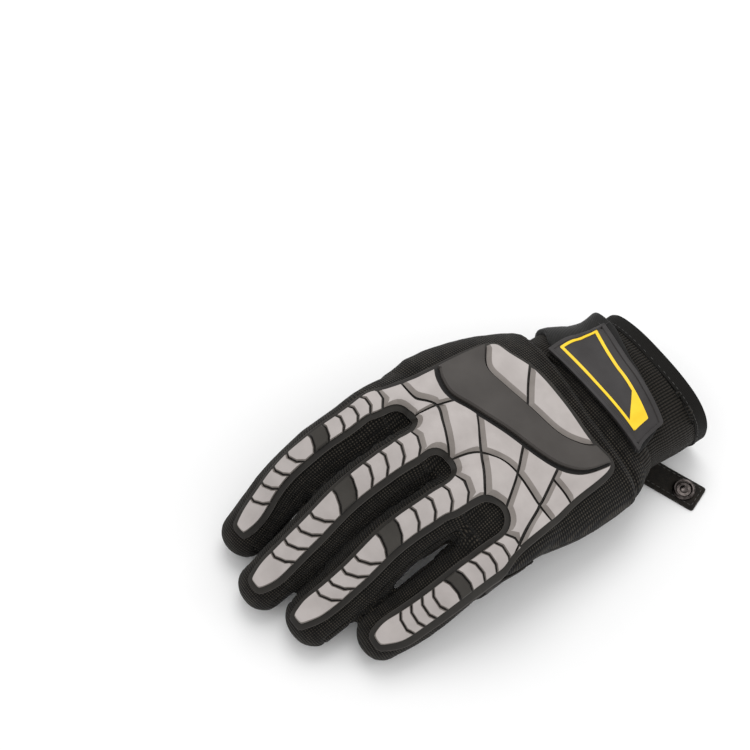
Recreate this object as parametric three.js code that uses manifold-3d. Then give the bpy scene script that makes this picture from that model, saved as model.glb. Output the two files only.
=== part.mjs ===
// A left recovery glove lying palm down, with its back up and its thumb tucked under the palm.
// Millimetres, +Z up. The fingers point along -Y, the thumb side is -X and the cuff opens towards +Y.
// The hand is a hollow shell, cut along its seams into the panels that it is sewn from. The rubber
// guard, the strap and the palm's patches are layers that follow the same sections a little further out.
import * as THREE from "three";
import { mergeVertices } from "three/addons/utils/BufferGeometryUtils.js";
import Module from "manifold-3d";

const wasm = await Module();
wasm.setup();

// Walls and gaps
const panelWall = 1.8; // knit or suede with its lining
const cuffWall = 2.6;
const gap = 0.3; // between neighbouring pieces
const reach = 8; // how far a cutting zone runs past the surface that it cuts
const sideReach = 2; // the same at a finger's sides, where its neighbour is near
const sliver = 0.1; // detail finer than this is dropped after a cut
const cutter = { bottom: -20, top: 90, far: 150 }; // how far an upright cutting block goes in Z and in plan
const boxMiddle = { x: -2.57, y: -5.16 }; // the middle of the finished glove, which becomes the origin

// Sections. A section is a rounded rectangle: power 2 is an ellipse, and a higher one is squarer.
const bodyPower = 2.5;
const fingerPower = 2.2;
const outerSides = { body: 24, limb: 12 };
const innerSides = { body: 16, limb: 8 }; // the hollow's sections are plainer
const domeAngles = [38, 72]; // the rings of a rounded end, in degrees round from its rim

// Palm, from the wrist seam to the knuckles. roll lowers the little finger's side, in degrees.
const palmRows = [
  { x: -2, y: 54, z: 21.3, halfWidth: 38.5, halfHeight: 20, roll: 3 },
  { x: -2, y: 44, z: 22.4, halfWidth: 44.2, halfHeight: 20.5, roll: 5 },
  { x: -4.6, y: 27, z: 27, halfWidth: 47, halfHeight: 20.5, roll: 8 },
  { x: -8.5, y: 8, z: 33, halfWidth: 48, halfHeight: 18.5, roll: 10 },
  { x: -10, y: -7, z: 36.7, halfWidth: 48, halfHeight: 16, roll: 11 },
  { x: -12, y: -17, z: 38, halfWidth: 45.5, halfHeight: 13.5, roll: 11 },
];
const palmEndReach = 7; // how far the palm's rounded end runs on past its last section
const wristSeam = 54; // Y of the seam between the hand and its cuff

// Cuff, from its mouth to the wrist seam
const cuffRows = [
  { x: 5.2, y: 90, z: 20.3, halfWidth: 32, halfHeight: 20.6, roll: 0 },
  { x: 4.2, y: 78, z: 20, halfWidth: 32, halfHeight: 20.3, roll: 0 },
  { x: 0.5, y: 64, z: 19.9, halfWidth: 34.5, halfHeight: 20.1, roll: 1 },
  { x: -2, y: 54.3, z: 21.2, halfWidth: 37, halfHeight: 20, roll: 3 },
];
const bindingLength = 7; // the folded band round the cuff's mouth

// Fingers, from inside the palm to the last section before the rounded tip
const fingerRows = {
  index: [
    { x: -37, y: 8, z: 38.5, halfWidth: 10.5, halfHeight: 12, roll: -14 },
    { x: -40, y: -6, z: 43, halfWidth: 11.2, halfHeight: 12.6, roll: -20 },
    { x: -42.4, y: -22, z: 45.6, halfWidth: 11.2, halfHeight: 12.4, roll: -20 },
    { x: -43.7, y: -34, z: 43.4, halfWidth: 11.0, halfHeight: 11.8, roll: -19 },
    { x: -46.5, y: -47, z: 37.8, halfWidth: 10.8, halfHeight: 11.2, roll: -17 },
    { x: -49, y: -59.6, z: 28.4, halfWidth: 10.6, halfHeight: 10.4, roll: -14 },
    { x: -50, y: -70, z: 19.8, halfWidth: 10.4, halfHeight: 9.9, roll: -10 },
    { x: -50, y: -86, z: 9, halfWidth: 9.8, halfHeight: 9.2, roll: -6 },
  ],
  middle: [
    { x: -17, y: 8, z: 39, halfWidth: 10.8, halfHeight: 12, roll: 6 },
    { x: -18, y: -6, z: 44, halfWidth: 11.2, halfHeight: 12.6, roll: 6 },
    { x: -20.2, y: -22, z: 45.7, halfWidth: 11.2, halfHeight: 12.6, roll: 6 },
    { x: -22.2, y: -34.2, z: 43, halfWidth: 11.0, halfHeight: 12.0, roll: 6 },
    { x: -24.8, y: -50.5, z: 35.4, halfWidth: 10.8, halfHeight: 11.2, roll: 6 },
    { x: -26.2, y: -67, z: 24.2, halfWidth: 10.6, halfHeight: 10.4, roll: 5 },
    { x: -27, y: -78, z: 16.8, halfWidth: 10.3, halfHeight: 9.9, roll: 4 },
    { x: -27.8, y: -94.5, z: 8.8, halfWidth: 9.9, halfHeight: 9.1, roll: 3 },
  ],
  ring: [
    { x: 6, y: 9, z: 35.5, halfWidth: 10.8, halfHeight: 12, roll: 10 },
    { x: 5, y: -4, z: 39, halfWidth: 11.2, halfHeight: 12.2, roll: 10 },
    { x: 3.6, y: -19, z: 40.6, halfWidth: 11.4, halfHeight: 12.2, roll: 10 },
    { x: 1.6, y: -31.8, z: 37.8, halfWidth: 11.1, halfHeight: 11.6, roll: 10 },
    { x: -1.2, y: -48.1, z: 30.2, halfWidth: 10.8, halfHeight: 10.8, roll: 10 },
    { x: -3, y: -63.5, z: 20.4, halfWidth: 10.5, halfHeight: 10.0, roll: 10 },
    { x: -4, y: -73, z: 14.6, halfWidth: 10.3, halfHeight: 9.6, roll: 10 },
    { x: -4.6, y: -88.5, z: 8.6, halfWidth: 9.8, halfHeight: 9, roll: 10 },
  ],
  pinky: [
    { x: 27.4, y: 10, z: 27, halfWidth: 10, halfHeight: 10, roll: 24 },
    { x: 27, y: -2, z: 30, halfWidth: 11.2, halfHeight: 11.4, roll: 26 },
    { x: 26.4, y: -14, z: 30.4, halfWidth: 11.4, halfHeight: 11.4, roll: 28 },
    { x: 24.6, y: -24.6, z: 27.6, halfWidth: 11.2, halfHeight: 11.0, roll: 28 },
    { x: 22.2, y: -37.8, z: 21.4, halfWidth: 10.9, halfHeight: 10.6, roll: 28 },
    { x: 20.0, y: -51, z: 15, halfWidth: 10.4, halfHeight: 10, roll: 26 },
    { x: 18.8, y: -60, z: 11.4, halfWidth: 10, halfHeight: 9.6, roll: 24 },
    { x: 18.0, y: -71.0, z: 8.7, halfWidth: 9.4, halfHeight: 9, roll: 20 },
  ],
};
const fingerNames = Object.keys(fingerRows);
const tipReach = 8.6; // how far a finger's rounded tip runs on past its last section

// Thumb, from inside the palm, down and forwards under it
const thumbRows = [
  { x: -30, y: 32, z: 21, halfWidth: 14, halfHeight: 15 },
  { x: -38, y: 14, z: 17, halfWidth: 13.5, halfHeight: 14 },
  { x: -38, y: -6, z: 12.4, halfWidth: 12, halfHeight: 12 },
  { x: -31, y: -22, z: 11, halfWidth: 11.4, halfHeight: 11.3 },
  { x: -20, y: -35, z: 10.4, halfWidth: 10.6, halfHeight: 10.6 },
];
const upWay = new THREE.Vector3(0, 0, 1);
const thumbBackWay = new THREE.Vector3(-0.75, 0.1, 0.65); // the way its nail side faces
const thumbClear = 1.5; // how far the cut between the thumb and the palm stands off the thumb

// Seams, as shares of a section's half height above its middle
const palmSeam = -0.05;
const fingerPalmSeam = -0.3;
const fingerBackSeam = 0.35;
const guardEdge = { palm: 0.3, finger: 0.5 }; // the guard comes no lower than this

// Leather caps: where each one's seam crosses its finger, and the way to the fingertip in degrees from +X
const indexCap = { x: -50, y: -78, degrees: -90 };
const thumbCap = { x: -24, y: -30, degrees: -50 };

// Guard: a rubber moulding of raised plates on a thin base, whose edge shows as a rim round them.
// Outlines, grooves and slots are in plan, from the thumb side round by the wrist.
const guard = { base: 1, top: 2.4, bandTop: 3.4, saddleTop: 2.8, rim: 1.3, groove: 1.3 };
const backOutline = [
  [-47, -26], [-44.6, -10], [-42.6, 5], [-42, 14], [-38.8, 34.2], [-30, 37.6], [-18, 41.2],
  [0, 41.2], [17.3, 39.6], [27.7, 40.4], [32.5, 37.4], [34.3, 31], [34.9, 18], [34.7, 4],
  [36, -8], [37, -26], [24, -28], [12, -28], [-1, -28], [-12, -28], [-24, -28], [-37, -28],
];
const bandOutline = [
  [-41.2, 6], [-36, 3], [-28, 1.6], [-18.2, 4.8], [-4, 10], [10, 14.2], [18.6, 18.2], [23.8, 23],
  [26.6, 29], [28.4, 38.4], [19.9, 38.2], [16, 32.8], [8, 28.2], [-6, 25.8], [-20, 23.3],
  [-29.5, 23], [-38, 30],
];
const slotLength = 70;
const slots = [
  { x: -29.8, y: -21.5, radius: 6, lean: -0.16 },
  { x: -6.3, y: -20.6, radius: 5.8, lean: -0.12 },
  { x: 18.8, y: -16.4, radius: 6.1, lean: -0.2 },
];
const backGrooves = [
  [[-27.4, -4.4], [-24.6, 4]],
  [[-27.4, -4.4], [-18.6, -8.9], [-8, -14.5]],
  [[-14.5, 5], [-1.8, -3.4], [13, -14.5]],
  [[4.5, 12.5], [11.8, 3.2], [20.5, -10]],
  [[19.5, 17.5], [26.2, 2.4], [34, -16]],
  [[-45, -10.2], [-37, -9.6], [-27.4, -4.4]],
  [[-29.5, -15.5], [-28.4, -9], [-27.4, -4.4]],
  [[-8, -14.5], [-2.1, -3.1], [11, 2.8], [25.9, 2.6], [36, 3.5]],
  [[22, 14], [28, 14.6], [36, 14.2]],
  [[-23, 40.5], [-15, 32.5], [-8, 26.5]],
];

// Strips down the fingers. All but the widths are Y on a strip's middle line: its tip, its dark saddle
// across the middle joint, the pointed cells below that and the scales above it.
const strips = {
  index: { tip: -89, cell: 6.8, saddleFrom: -51.5, saddleTo: -45, scale: 5.9, halfWidth: 5.8 },
  middle: { tip: -98, cell: 6.9, saddleFrom: -58, saddleTo: -50.3, scale: 7, halfWidth: 6.1 },
  ring: { tip: -93.8, cell: 6.6, saddleFrom: -54.8, saddleTo: -47.2, scale: 7.3, halfWidth: 6.3 },
  pinky: { tip: -75.6, cell: 5.5, saddleFrom: -42.5, saddleTo: -37, scale: 5.9, halfWidth: 6.5 },
};
const stripRoot = -14;
const stripTipWidth = 2.4;
const stripTaper = 6; // how far from its tip a strip begins to narrow
const stripStep = 8; // between two points of its side
const cellCount = 4;
const cellBulge = 2.4;

// Strap and label on the cuff, in plan
const strapThickness = 2;
const strapRoot = 10; // how high above the floor the strap leaves its seam on the thumb side
const strapOutline = [[-60, 58], [-31, 57.5], [31, 52.3], [34, 57.5], [29.5, 66], [-24, 85.2], [-60, 88]];
const labelThickness = 1.5;
const labelOutline = [[-28.5, 57.8], [30.6, 52.8], [33.4, 57.5], [29.2, 65.4], [-23, 84.2]];

// Pull tab: it lies on the floor, from under the cuff to its free end
const tab = { width: 12.2, length: 38, thickness: 1.8, x: 17, y: 61.9, degrees: 17 };
const snap = {
  radius: 4.9, height: 1.7, bevel: 0.6, lip: 0.9, dish: 0.8,
  button: 1.8, buttonTop: 1.4, sides: 12, fromEnd: 7.6,
};

// Palm patches, in plan
const overlayThickness = 1;
const overlayOutline = [
  [-64, -30], [-64, -44], [-37, -44], [-36, -33], [-20, -34], [-14, -46], [10, -42], [14, -28],
  [33, -34], [44, -20], [44, -6], [28, -10], [18, -2], [6, -10], [-8, -16], [-22, -14], [-34, -20],
];
const padThickness = 2;
const padOutline = [
  [-14, -4], [4, -6], [26, 4], [34, 20], [30, 42], [12, 48],
  [4, 36], [10, 22], [6, 14], [-2, 18], [-6, 30], [-16, 24],
];

// A ring is a section placed in space, with the ways along, across and up of its limb there.
function ringsOf(rows, { grow = 0, endReach = 0, startRun = 0, endRun = 0, upHint = upWay } = {}) {
  const centres = rows.map((row) => new THREE.Vector3(row.x, row.y, row.z));
  const last = rows.length - 1;
  const rings = rows.map((row, i) => {
    const along = centres[Math.min(i + 1, last)].clone().sub(centres[Math.max(i - 1, 0)]).normalize();
    const across = upHint.clone().cross(along).normalize();
    const up = along.clone().cross(across);
    const roll = THREE.MathUtils.degToRad(-(row.roll ?? 0));
    across.applyAxisAngle(along, roll);
    up.applyAxisAngle(along, roll);
    const size = { width: row.halfWidth + grow, height: row.halfHeight + grow };
    return { centre: centres[i], along, across, up, ...size };
  });
  const rim = rings[last];
  if (startRun) rings.unshift(shifted(rings[0], -startRun));
  if (endRun) rings.push(shifted(rim, endRun));
  if (endReach) {
    const depth = endReach + grow;
    for (const degrees of domeAngles) {
      const turn = THREE.MathUtils.degToRad(degrees);
      const width = rim.width - Math.min(rim.width, depth) * (1 - Math.cos(turn));
      rings.push({ ...shifted(rim, depth * Math.sin(turn)), width, height: rim.height * Math.cos(turn) });
    }
  }
  return rings;
}

function shifted(ring, distance) {
  return { ...ring, centre: ring.centre.clone().addScaledVector(ring.along, distance) };
}

// A closed tube through rings: a unit cylinder whose own rings are moved onto them.
function tube(rings, sides, power) {
  const geometry = new THREE.CylinderGeometry(1, 1, 1, sides, rings.length - 1);
  const spot = geometry.getAttribute("position");
  const point = new THREE.Vector3();
  const squarer = (value) => Math.sign(value) * Math.abs(value) ** (2 / power);
  for (let i = 0; i < spot.count; i++) {
    point.fromBufferAttribute(spot, i);
    const ring = rings[Math.round((0.5 - point.y) * (rings.length - 1))];
    const sideways = squarer(point.x) * ring.width;
    const upwards = squarer(point.z) * ring.height;
    point.copy(ring.centre).addScaledVector(ring.across, sideways).addScaledVector(ring.up, upwards);
    spot.setXYZ(i, point.x, point.y, point.z);
  }
  return solidOf(geometry);
}

// A cutting zone: a long block bent along rings. spanOf gives a ring's left, right, bottom and top, and
// margin is added to all four.
function zone(rings, spanOf, margin = 0) {
  const geometry = new THREE.BoxGeometry(1, 1, 1, 1, 1, rings.length - 1);
  const spot = geometry.getAttribute("position");
  const point = new THREE.Vector3();
  for (let i = 0; i < spot.count; i++) {
    point.fromBufferAttribute(spot, i);
    const ring = rings[Math.round((0.5 - point.z) * (rings.length - 1))];
    const span = spanOf(ring);
    const sideways = point.x < 0 ? span.right + margin : span.left - margin;
    const upwards = point.y < 0 ? span.bottom - margin : span.top + margin;
    point.copy(ring.centre).addScaledVector(ring.across, sideways).addScaledVector(ring.up, upwards);
    spot.setXYZ(i, point.x, point.y, point.z);
  }
  return solidOf(geometry);
}

// Upright blocks: over a plan outline, and over all that lies ahead of a point in some way
const plan = (points) => points.map(([x, y]) => new THREE.Vector2(x, y));
function upright(outline, bottom = cutter.bottom, top = cutter.top) {
  const shape = new THREE.Shape(outline);
  const geometry = new THREE.ExtrudeGeometry(shape, { depth: top - bottom, bevelEnabled: false });
  return solidOf(geometry.translate(0, 0, bottom));
}
function oblong(left, right, halfWidth) {
  return plan([[left, -halfWidth], [right, -halfWidth], [right, halfWidth], [left, halfWidth]]);
}
const onFloor = (solid, height = 0) =>
  solid.subtract(upright(oblong(-cutter.far, cutter.far, cutter.far), cutter.bottom, height));
const ahead = ({ x, y, degrees }, margin = 0) =>
  upright(oblong(-margin, 2 * cutter.far, cutter.far)).rotate([0, 0, degrees]).translate([x, y, 0]);

// An outline moved inwards: each corner goes along the middle of its two sides' inward ways.
function inset(outline, distance) {
  const count = outline.length;
  const turnedLeft = Math.sign(THREE.ShapeUtils.area(outline));
  return outline.map((corner, i) => {
    const before = corner.clone().sub(outline[(i + count - 1) % count]).normalize();
    const after = outline[(i + 1) % count].clone().sub(corner).normalize();
    const middle = before.clone().add(after).normalize();
    const inward = new THREE.Vector2(-middle.y, middle.x).multiplyScalar(turnedLeft);
    const stretch = Math.min(2, 1 / Math.max(0.4, middle.dot(after)));
    return corner.clone().addScaledVector(inward, distance * stretch);
  });
}

// A groove's cutter: an upright ribbon along a smooth line in plan
const ribbonSteps = 3; // between two points of its line
function ribbon(points, width) {
  const line = new THREE.SplineCurve(points).getPoints((points.length - 1) * ribbonSteps);
  const last = line.length - 1;
  const side = (away) =>
    line.map((point, i) => {
      const way = line[Math.min(i + 1, last)].clone().sub(line[Math.max(i - 1, 0)]).normalize();
      return new THREE.Vector2(point.x - way.y * away, point.y + way.x * away);
    });
  return upright([...side(-width / 2), ...side(width / 2).reverse()]);
}

function solidOf(geometry) {
  const bare = geometry.clone();
  bare.deleteAttribute("normal");
  bare.deleteAttribute("uv");
  const merged = mergeVertices(bare, 1e-4);
  return new wasm.Manifold(
    new wasm.Mesh({
      numProp: 3,
      vertProperties: merged.getAttribute("position").array,
      triVerts: new Uint32Array(merged.index.array),
    }),
  );
}

function geometryOf(solid) {
  const { vertProperties, triVerts } = solid.getMesh();
  const geometry = new THREE.BufferGeometry();
  geometry.setAttribute("position", new THREE.BufferAttribute(vertProperties, 3));
  geometry.setIndex(new THREE.BufferAttribute(triVerts, 1));
  geometry.computeVertexNormals();
  return geometry;
}

// The largest body of a cut piece, without the slivers that add nothing to its shape
function whole(solid) {
  const largest = (from) => from.decompose().sort((one, other) => other.volume() - one.volume())[0];
  return largest(largest(solid).asOriginal().simplify(sliver));
}

// The hand's form at an offset from the glove's outer face, without and with its thumb
function backForm(grow, sides = outerSides, startRun = 0) {
  let solid = tube(ringsOf(palmRows, { grow, startRun, endReach: palmEndReach }), sides.body, bodyPower);
  for (const name of fingerNames) {
    const rings = ringsOf(fingerRows[name], { grow, endReach: tipReach });
    solid = solid.add(tube(rings, sides.limb, fingerPower));
  }
  return solid;
}
const thumbForm = (grow, sides = outerSides, rows = thumbRows) =>
  tube(ringsOf(rows, { grow, endReach: tipReach, upHint: thumbBackWay }), sides.limb, fingerPower);
const layer = (from, to) => backForm(to).subtract(backForm(from));

// The pieces, each with its colour and finish
const glove = new THREE.Group();
const finishes = {
  knit: { color: 0x1b1a18, roughness: 0.95 },
  suede: { color: 0x26221e, roughness: 1 },
  leather: { color: 0x2e2d2e, roughness: 0.5 },
  lightRubber: { color: 0xb9b1ac, roughness: 0.6 },
  darkRubber: { color: 0x4d4947, roughness: 0.55 },
  label: { color: 0x3a3838, roughness: 0.5 },
  nickel: { color: 0x2a2a2c, roughness: 0.3, metalness: 1 },
};
function addPiece(name, finish, solid) {
  const mesh = new THREE.Mesh(geometryOf(solid), new THREE.MeshStandardMaterial(finishes[finish]));
  mesh.name = name;
  glove.add(mesh);
}

// Zones that share the hand's shell out among its panels. margin widens a zone by a gap.
const besides = (ring, away) => ({ left: -ring.width - away, right: ring.width + away });
function handZone(margin, spanOf) {
  return zone(ringsOf(palmRows, { startRun: reach, endRun: palmEndReach + margin }), spanOf, margin);
}
function fingerZone(name, margin, endRun, spanOf) {
  const rings = ringsOf(fingerRows[name], { startRun: margin, endRun: endRun + margin });
  return zone(rings, (ring) => ({ ...besides(ring, sideReach), ...spanOf(ring) }), margin);
}
function palmZone(margin) {
  const palmSpan = (ring) => ({
    ...besides(ring, reach),
    bottom: -ring.height - reach,
    top: ring.height * palmSeam,
  });
  const fingerSpan = (ring) => ({ bottom: -ring.height - reach / 2, top: ring.height * fingerPalmSeam });
  return fingerNames.reduce(
    (solid, name) => solid.add(fingerZone(name, margin, tipReach + reach, fingerSpan)),
    handZone(margin, palmSpan),
  );
}
function forkZone(i, margin) {
  const span = (ring) => ({
    bottom: ring.height * fingerPalmSeam - reach,
    top: ring.height * fingerBackSeam,
  });
  const near = fingerZone(fingerNames[i], margin, 0, (ring) => ({ ...span(ring), left: 0 }));
  return near.add(fingerZone(fingerNames[i + 1], margin, 0, (ring) => ({ ...span(ring), right: 0 })));
}

// Hand: the thumb comes off the shell first, then the palm's side, then the strips between the fingers.
const outerForm = onFloor(backForm(0, outerSides, reach).add(thumbForm(0)));
const innerHand = backForm(-panelWall, innerSides, reach).add(thumbForm(-panelWall, innerSides));
const shell = outerForm
  .subtract(onFloor(innerHand, panelWall))
  .subtract(ahead({ x: 0, y: wristSeam, degrees: 90 }));
const thumbZone = (margin) => thumbForm(thumbClear + margin, outerSides, thumbRows.slice(1));
const handShell = shell.subtract(thumbZone(gap));
const aboveSeam = handShell.subtract(palmZone(gap));
let backPanel = aboveSeam;
fingerNames.slice(0, -1).forEach((name, i) => {
  const fourchette = aboveSeam.intersect(forkZone(i, 0));
  addPiece(`${name}_${fingerNames[i + 1]}_fourchette`, "knit", whole(fourchette));
  backPanel = backPanel.subtract(forkZone(i, gap));
});
addPiece("back_panel", "knit", whole(backPanel));

// Palm: suede, with a smooth leather cap over the index finger's tip, a second layer of suede across
// the roots of the fingers and a padded leather patch on the heel of the hand
const palmShell = handShell.intersect(palmZone(0));
const indexTip = (margin) => {
  const spanOf = (ring) => ({ bottom: -ring.height - reach, top: ring.height + reach });
  return fingerZone("index", margin, tipReach + reach, spanOf).intersect(ahead(indexCap, margin));
};
addPiece("palm_panel", "suede", whole(palmShell.subtract(indexTip(gap))));
addPiece("index_tip_cap", "leather", whole(palmShell.intersect(indexTip(0))));
const underPalm = (thickness, outline) =>
  layer(gap, gap + thickness)
    .intersect(palmZone(-overlayThickness))
    .subtract(thumbZone(gap))
    .intersect(upright(plan(outline), 0));
addPiece("finger_base_overlay", "suede", whole(underPalm(overlayThickness, overlayOutline)));
addPiece("palm_patch", "leather", whole(underPalm(padThickness, padOutline)));

// Thumb: knit at its back, suede at its front, with a smooth leather cap on the front of its tip
const thumbShell = shell.intersect(thumbZone(0));
const thumbFrontZone = (margin) =>
  zone(
    ringsOf(thumbRows, { startRun: reach, endRun: tipReach + reach, upHint: thumbBackWay }),
    (ring) => ({ ...besides(ring, reach), bottom: -ring.height - reach, top: 0 }),
    margin,
  );
const thumbFront = thumbShell.intersect(thumbFrontZone(0));
addPiece("thumb_back", "knit", whole(thumbShell.subtract(thumbFrontZone(gap))));
addPiece("thumb_front", "suede", whole(thumbFront.subtract(ahead(thumbCap, gap))));
addPiece("thumb_tip_cap", "leather", whole(thumbFront.intersect(ahead(thumbCap))));

// Guard: plan outlines of the strips and their cells come from the fingers' own rings.
function stripSpot(name, y) {
  const rings = ringsOf(fingerRows[name], { endRun: tipReach + reach });
  const tops = rings.map((ring) => ring.centre.clone().addScaledVector(ring.up, ring.height));
  const i = Math.max(1, tops.findIndex((top) => top.y < y));
  const share = (y - tops[i - 1].y) / (tops[i].y - tops[i - 1].y);
  const flat = (start, end) => {
    const point = start.clone().lerp(end, share);
    return new THREE.Vector2(point.x, point.y);
  };
  return {
    middle: flat(tops[i - 1], tops[i]),
    across: flat(rings[i - 1].across, rings[i].across),
    along: flat(rings[i - 1].along, rings[i].along),
  };
}
const stripPoint = (name, y, sideways, onwards = 0) => {
  const spot = stripSpot(name, y);
  return spot.middle.addScaledVector(spot.across, sideways).addScaledVector(spot.along, onwards);
};
function stripOutline(name, from, to, rim) {
  const { tip, halfWidth } = strips[name];
  const steps = Math.round((from - to) / stripStep);
  const stations = Array.from({ length: steps + 1 }, (_, i) => from + ((to - from) * i) / steps);
  const widthAt = (y) => {
    const share = Math.min((y - tip) / stripTaper, 1);
    return THREE.MathUtils.lerp(stripTipWidth, halfWidth, share);
  };
  const side = (sign) => stations.map((y) => stripPoint(name, y, sign * (widthAt(y) - rim)));
  return [...side(-1), ...side(1).reverse()];
}
// A line across a strip. Its middle lies a bulge further on towards the tip.
const acrossStrip = (name, y, bulge) => {
  const end = strips[name].halfWidth + 1;
  return [-end, 0, end].map((sideways) => stripPoint(name, y, sideways, sideways ? -bulge / 2 : bulge / 2));
};

const topSpan = (ring, edge) => ({ bottom: ring.height * edge, top: ring.height + reach });
const fingerTop = (ring) => topSpan(ring, guardEdge.finger);
const backZone = fingerNames.reduce(
  (solid, name) => solid.add(fingerZone(name, 0, tipReach + reach, fingerTop)),
  handZone(0, (ring) => ({ ...besides(ring, reach), ...topSpan(ring, guardEdge.palm) })),
);
const guardLayer = (from, to) => layer(from, to).intersect(backZone);
function slotBlock({ x, y, radius, lean }, margin) {
  const arc = new THREE.EllipseCurve(x, y, radius + margin, radius + margin, 0, Math.PI).getPoints(8);
  const far = (point) => new THREE.Vector2(point.x + slotLength * lean, point.y - slotLength);
  return upright([...arc, far(arc[arc.length - 1]), far(arc[0])]);
}
function guardBlock(rim) {
  let block = upright(inset(plan(backOutline), rim));
  for (const slot of slots) block = block.subtract(slotBlock(slot, rim));
  for (const name of fingerNames) {
    block = block.add(upright(stripOutline(name, stripRoot, strips[name].tip + rim, rim)));
  }
  return block;
}
let grooves = upright(plan(bandOutline));
for (const line of backGrooves) grooves = grooves.add(ribbon(plan(line), guard.groove));
function saddleBlock(name, margin) {
  const { saddleFrom, saddleTo } = strips[name];
  const lower = acrossStrip(name, saddleFrom - margin, cellBulge);
  const upper = acrossStrip(name, saddleTo + margin, -cellBulge);
  return upright([...lower, ...upper.reverse()]);
}
for (const name of fingerNames) {
  const strip = strips[name];
  grooves = grooves.add(saddleBlock(name, gap));
  for (let count = 1; count <= cellCount; count++) {
    const lower = acrossStrip(name, strip.saddleFrom - count * strip.cell, cellBulge);
    const upper = acrossStrip(name, strip.saddleTo + count * strip.scale, -cellBulge);
    grooves = grooves.add(ribbon(lower, guard.groove)).add(ribbon(upper, guard.groove));
  }
}
const guardBase = guardLayer(gap, gap + guard.base).intersect(guardBlock(0));
const guardPlates = guardLayer(gap, gap + guard.top).intersect(guardBlock(guard.rim)).subtract(grooves);
addPiece("knuckle_guard", "lightRubber", whole(guardBase.add(guardPlates)));
const raisedFrom = gap + guard.base + gap;
const bandLayer = guardLayer(raisedFrom, gap + guard.bandTop);
addPiece("back_band", "darkRubber", whole(bandLayer.intersect(upright(inset(plan(bandOutline), gap)))));
const saddleLayer = guardLayer(raisedFrom, gap + guard.saddleTop).intersect(guardBlock(guard.rim));
for (const name of fingerNames) {
  addPiece(`${name}_saddle`, "darkRubber", whole(saddleLayer.intersect(saddleBlock(name, 0))));
}

// Cuff: a stretch tube sewn to the hand's edge, with a folded band round its mouth
const cuffTube = (grow, sides, startRun) =>
  tube(ringsOf(cuffRows, { grow, startRun, endRun: reach }), sides, bodyPower);
const cuffShell = onFloor(cuffTube(0, outerSides.body, 0))
  .subtract(onFloor(cuffTube(-cuffWall, innerSides.body, reach), cuffWall))
  .subtract(ahead({ x: 0, y: wristSeam + gap, degrees: -90 }));
const bandStart = { x: 0, y: cuffRows[0].y - bindingLength, degrees: 90 };
addPiece("cuff", "knit", whole(cuffShell.subtract(ahead(bandStart, gap))));
addPiece("cuff_binding", "knit", whole(cuffShell.intersect(ahead(bandStart))));

// Strap: it comes over from the thumb side and closes on the back of the cuff, under a rubber label.
const overCuff = (from, thickness, outline) =>
  cuffTube(from + thickness, outerSides.body, reach)
    .subtract(cuffTube(from, outerSides.body, reach + 1))
    .subtract(backForm(from))
    .intersect(upright(plan(outline), strapRoot));
const strapTop = gap + strapThickness;
addPiece("wrist_strap", "knit", whole(overCuff(gap, strapThickness, strapOutline)));
addPiece("strap_label", "label", whole(overCuff(strapTop + gap, labelThickness, labelOutline)));

// Pull tab, sewn in under the cuff, with its snap
const tabPlace = (solid) => solid.rotate([0, 0, tab.degrees]).translate([tab.x, tab.y, 0]);
const tabBlock = tabPlace(upright(oblong(0, tab.length, tab.width / 2), 0, tab.thickness));
addPiece("pull_tab", "suede", whole(tabBlock.subtract(cuffTube(gap, outerSides.body, 0))));
const snapLip = snap.radius - snap.bevel - snap.lip;
const snapSide = [
  [0, 0], [snap.radius, 0], [snap.radius, snap.dish], [snap.radius - snap.bevel, snap.height],
  [snapLip, snap.height], [snapLip, snap.dish], [snap.button, snap.dish],
  [snap.button, snap.buttonTop], [0, snap.buttonTop],
];
const snapTurned = solidOf(new THREE.LatheGeometry(plan(snapSide), snap.sides).rotateX(Math.PI / 2));
const snapSeat = [tab.length - snap.fromEnd, 0, tab.thickness + gap];
addPiece("snap", "nickel", tabPlace(snapTurned.translate(snapSeat)));

glove.position.set(-boxMiddle.x, -boxMiddle.y, 0);
export default glove;
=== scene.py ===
import math

import bmesh
import bpy
from mathutils import Matrix, Vector, noise
from mathutils.bvhtree import BVHTree
from mathutils.geometry import intersect_line_line_2d, tessellate_polygon
from mathutils.interpolate import poly_3d_calc
from mathutils.kdtree import KDTree


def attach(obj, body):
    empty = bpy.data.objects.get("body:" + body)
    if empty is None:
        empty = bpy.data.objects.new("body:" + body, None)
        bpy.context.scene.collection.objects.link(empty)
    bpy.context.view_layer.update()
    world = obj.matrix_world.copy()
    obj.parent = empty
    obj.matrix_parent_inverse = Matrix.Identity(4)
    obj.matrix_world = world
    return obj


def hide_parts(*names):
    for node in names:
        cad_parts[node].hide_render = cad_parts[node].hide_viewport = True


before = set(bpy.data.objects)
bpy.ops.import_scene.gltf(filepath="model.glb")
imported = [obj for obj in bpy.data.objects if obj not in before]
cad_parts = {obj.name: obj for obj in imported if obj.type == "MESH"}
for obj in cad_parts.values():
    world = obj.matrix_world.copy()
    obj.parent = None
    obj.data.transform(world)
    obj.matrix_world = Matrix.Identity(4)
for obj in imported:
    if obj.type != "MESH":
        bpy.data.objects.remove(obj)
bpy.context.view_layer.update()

# Table and camera. The glove lies on a white table top under a large soft lamp, and is seen from above
# its fingertips, a little to the little finger's side, with a long lens.
scene = bpy.context.scene
scene.view_settings.view_transform = "Standard"
scene.view_settings.look = "None"

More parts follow.
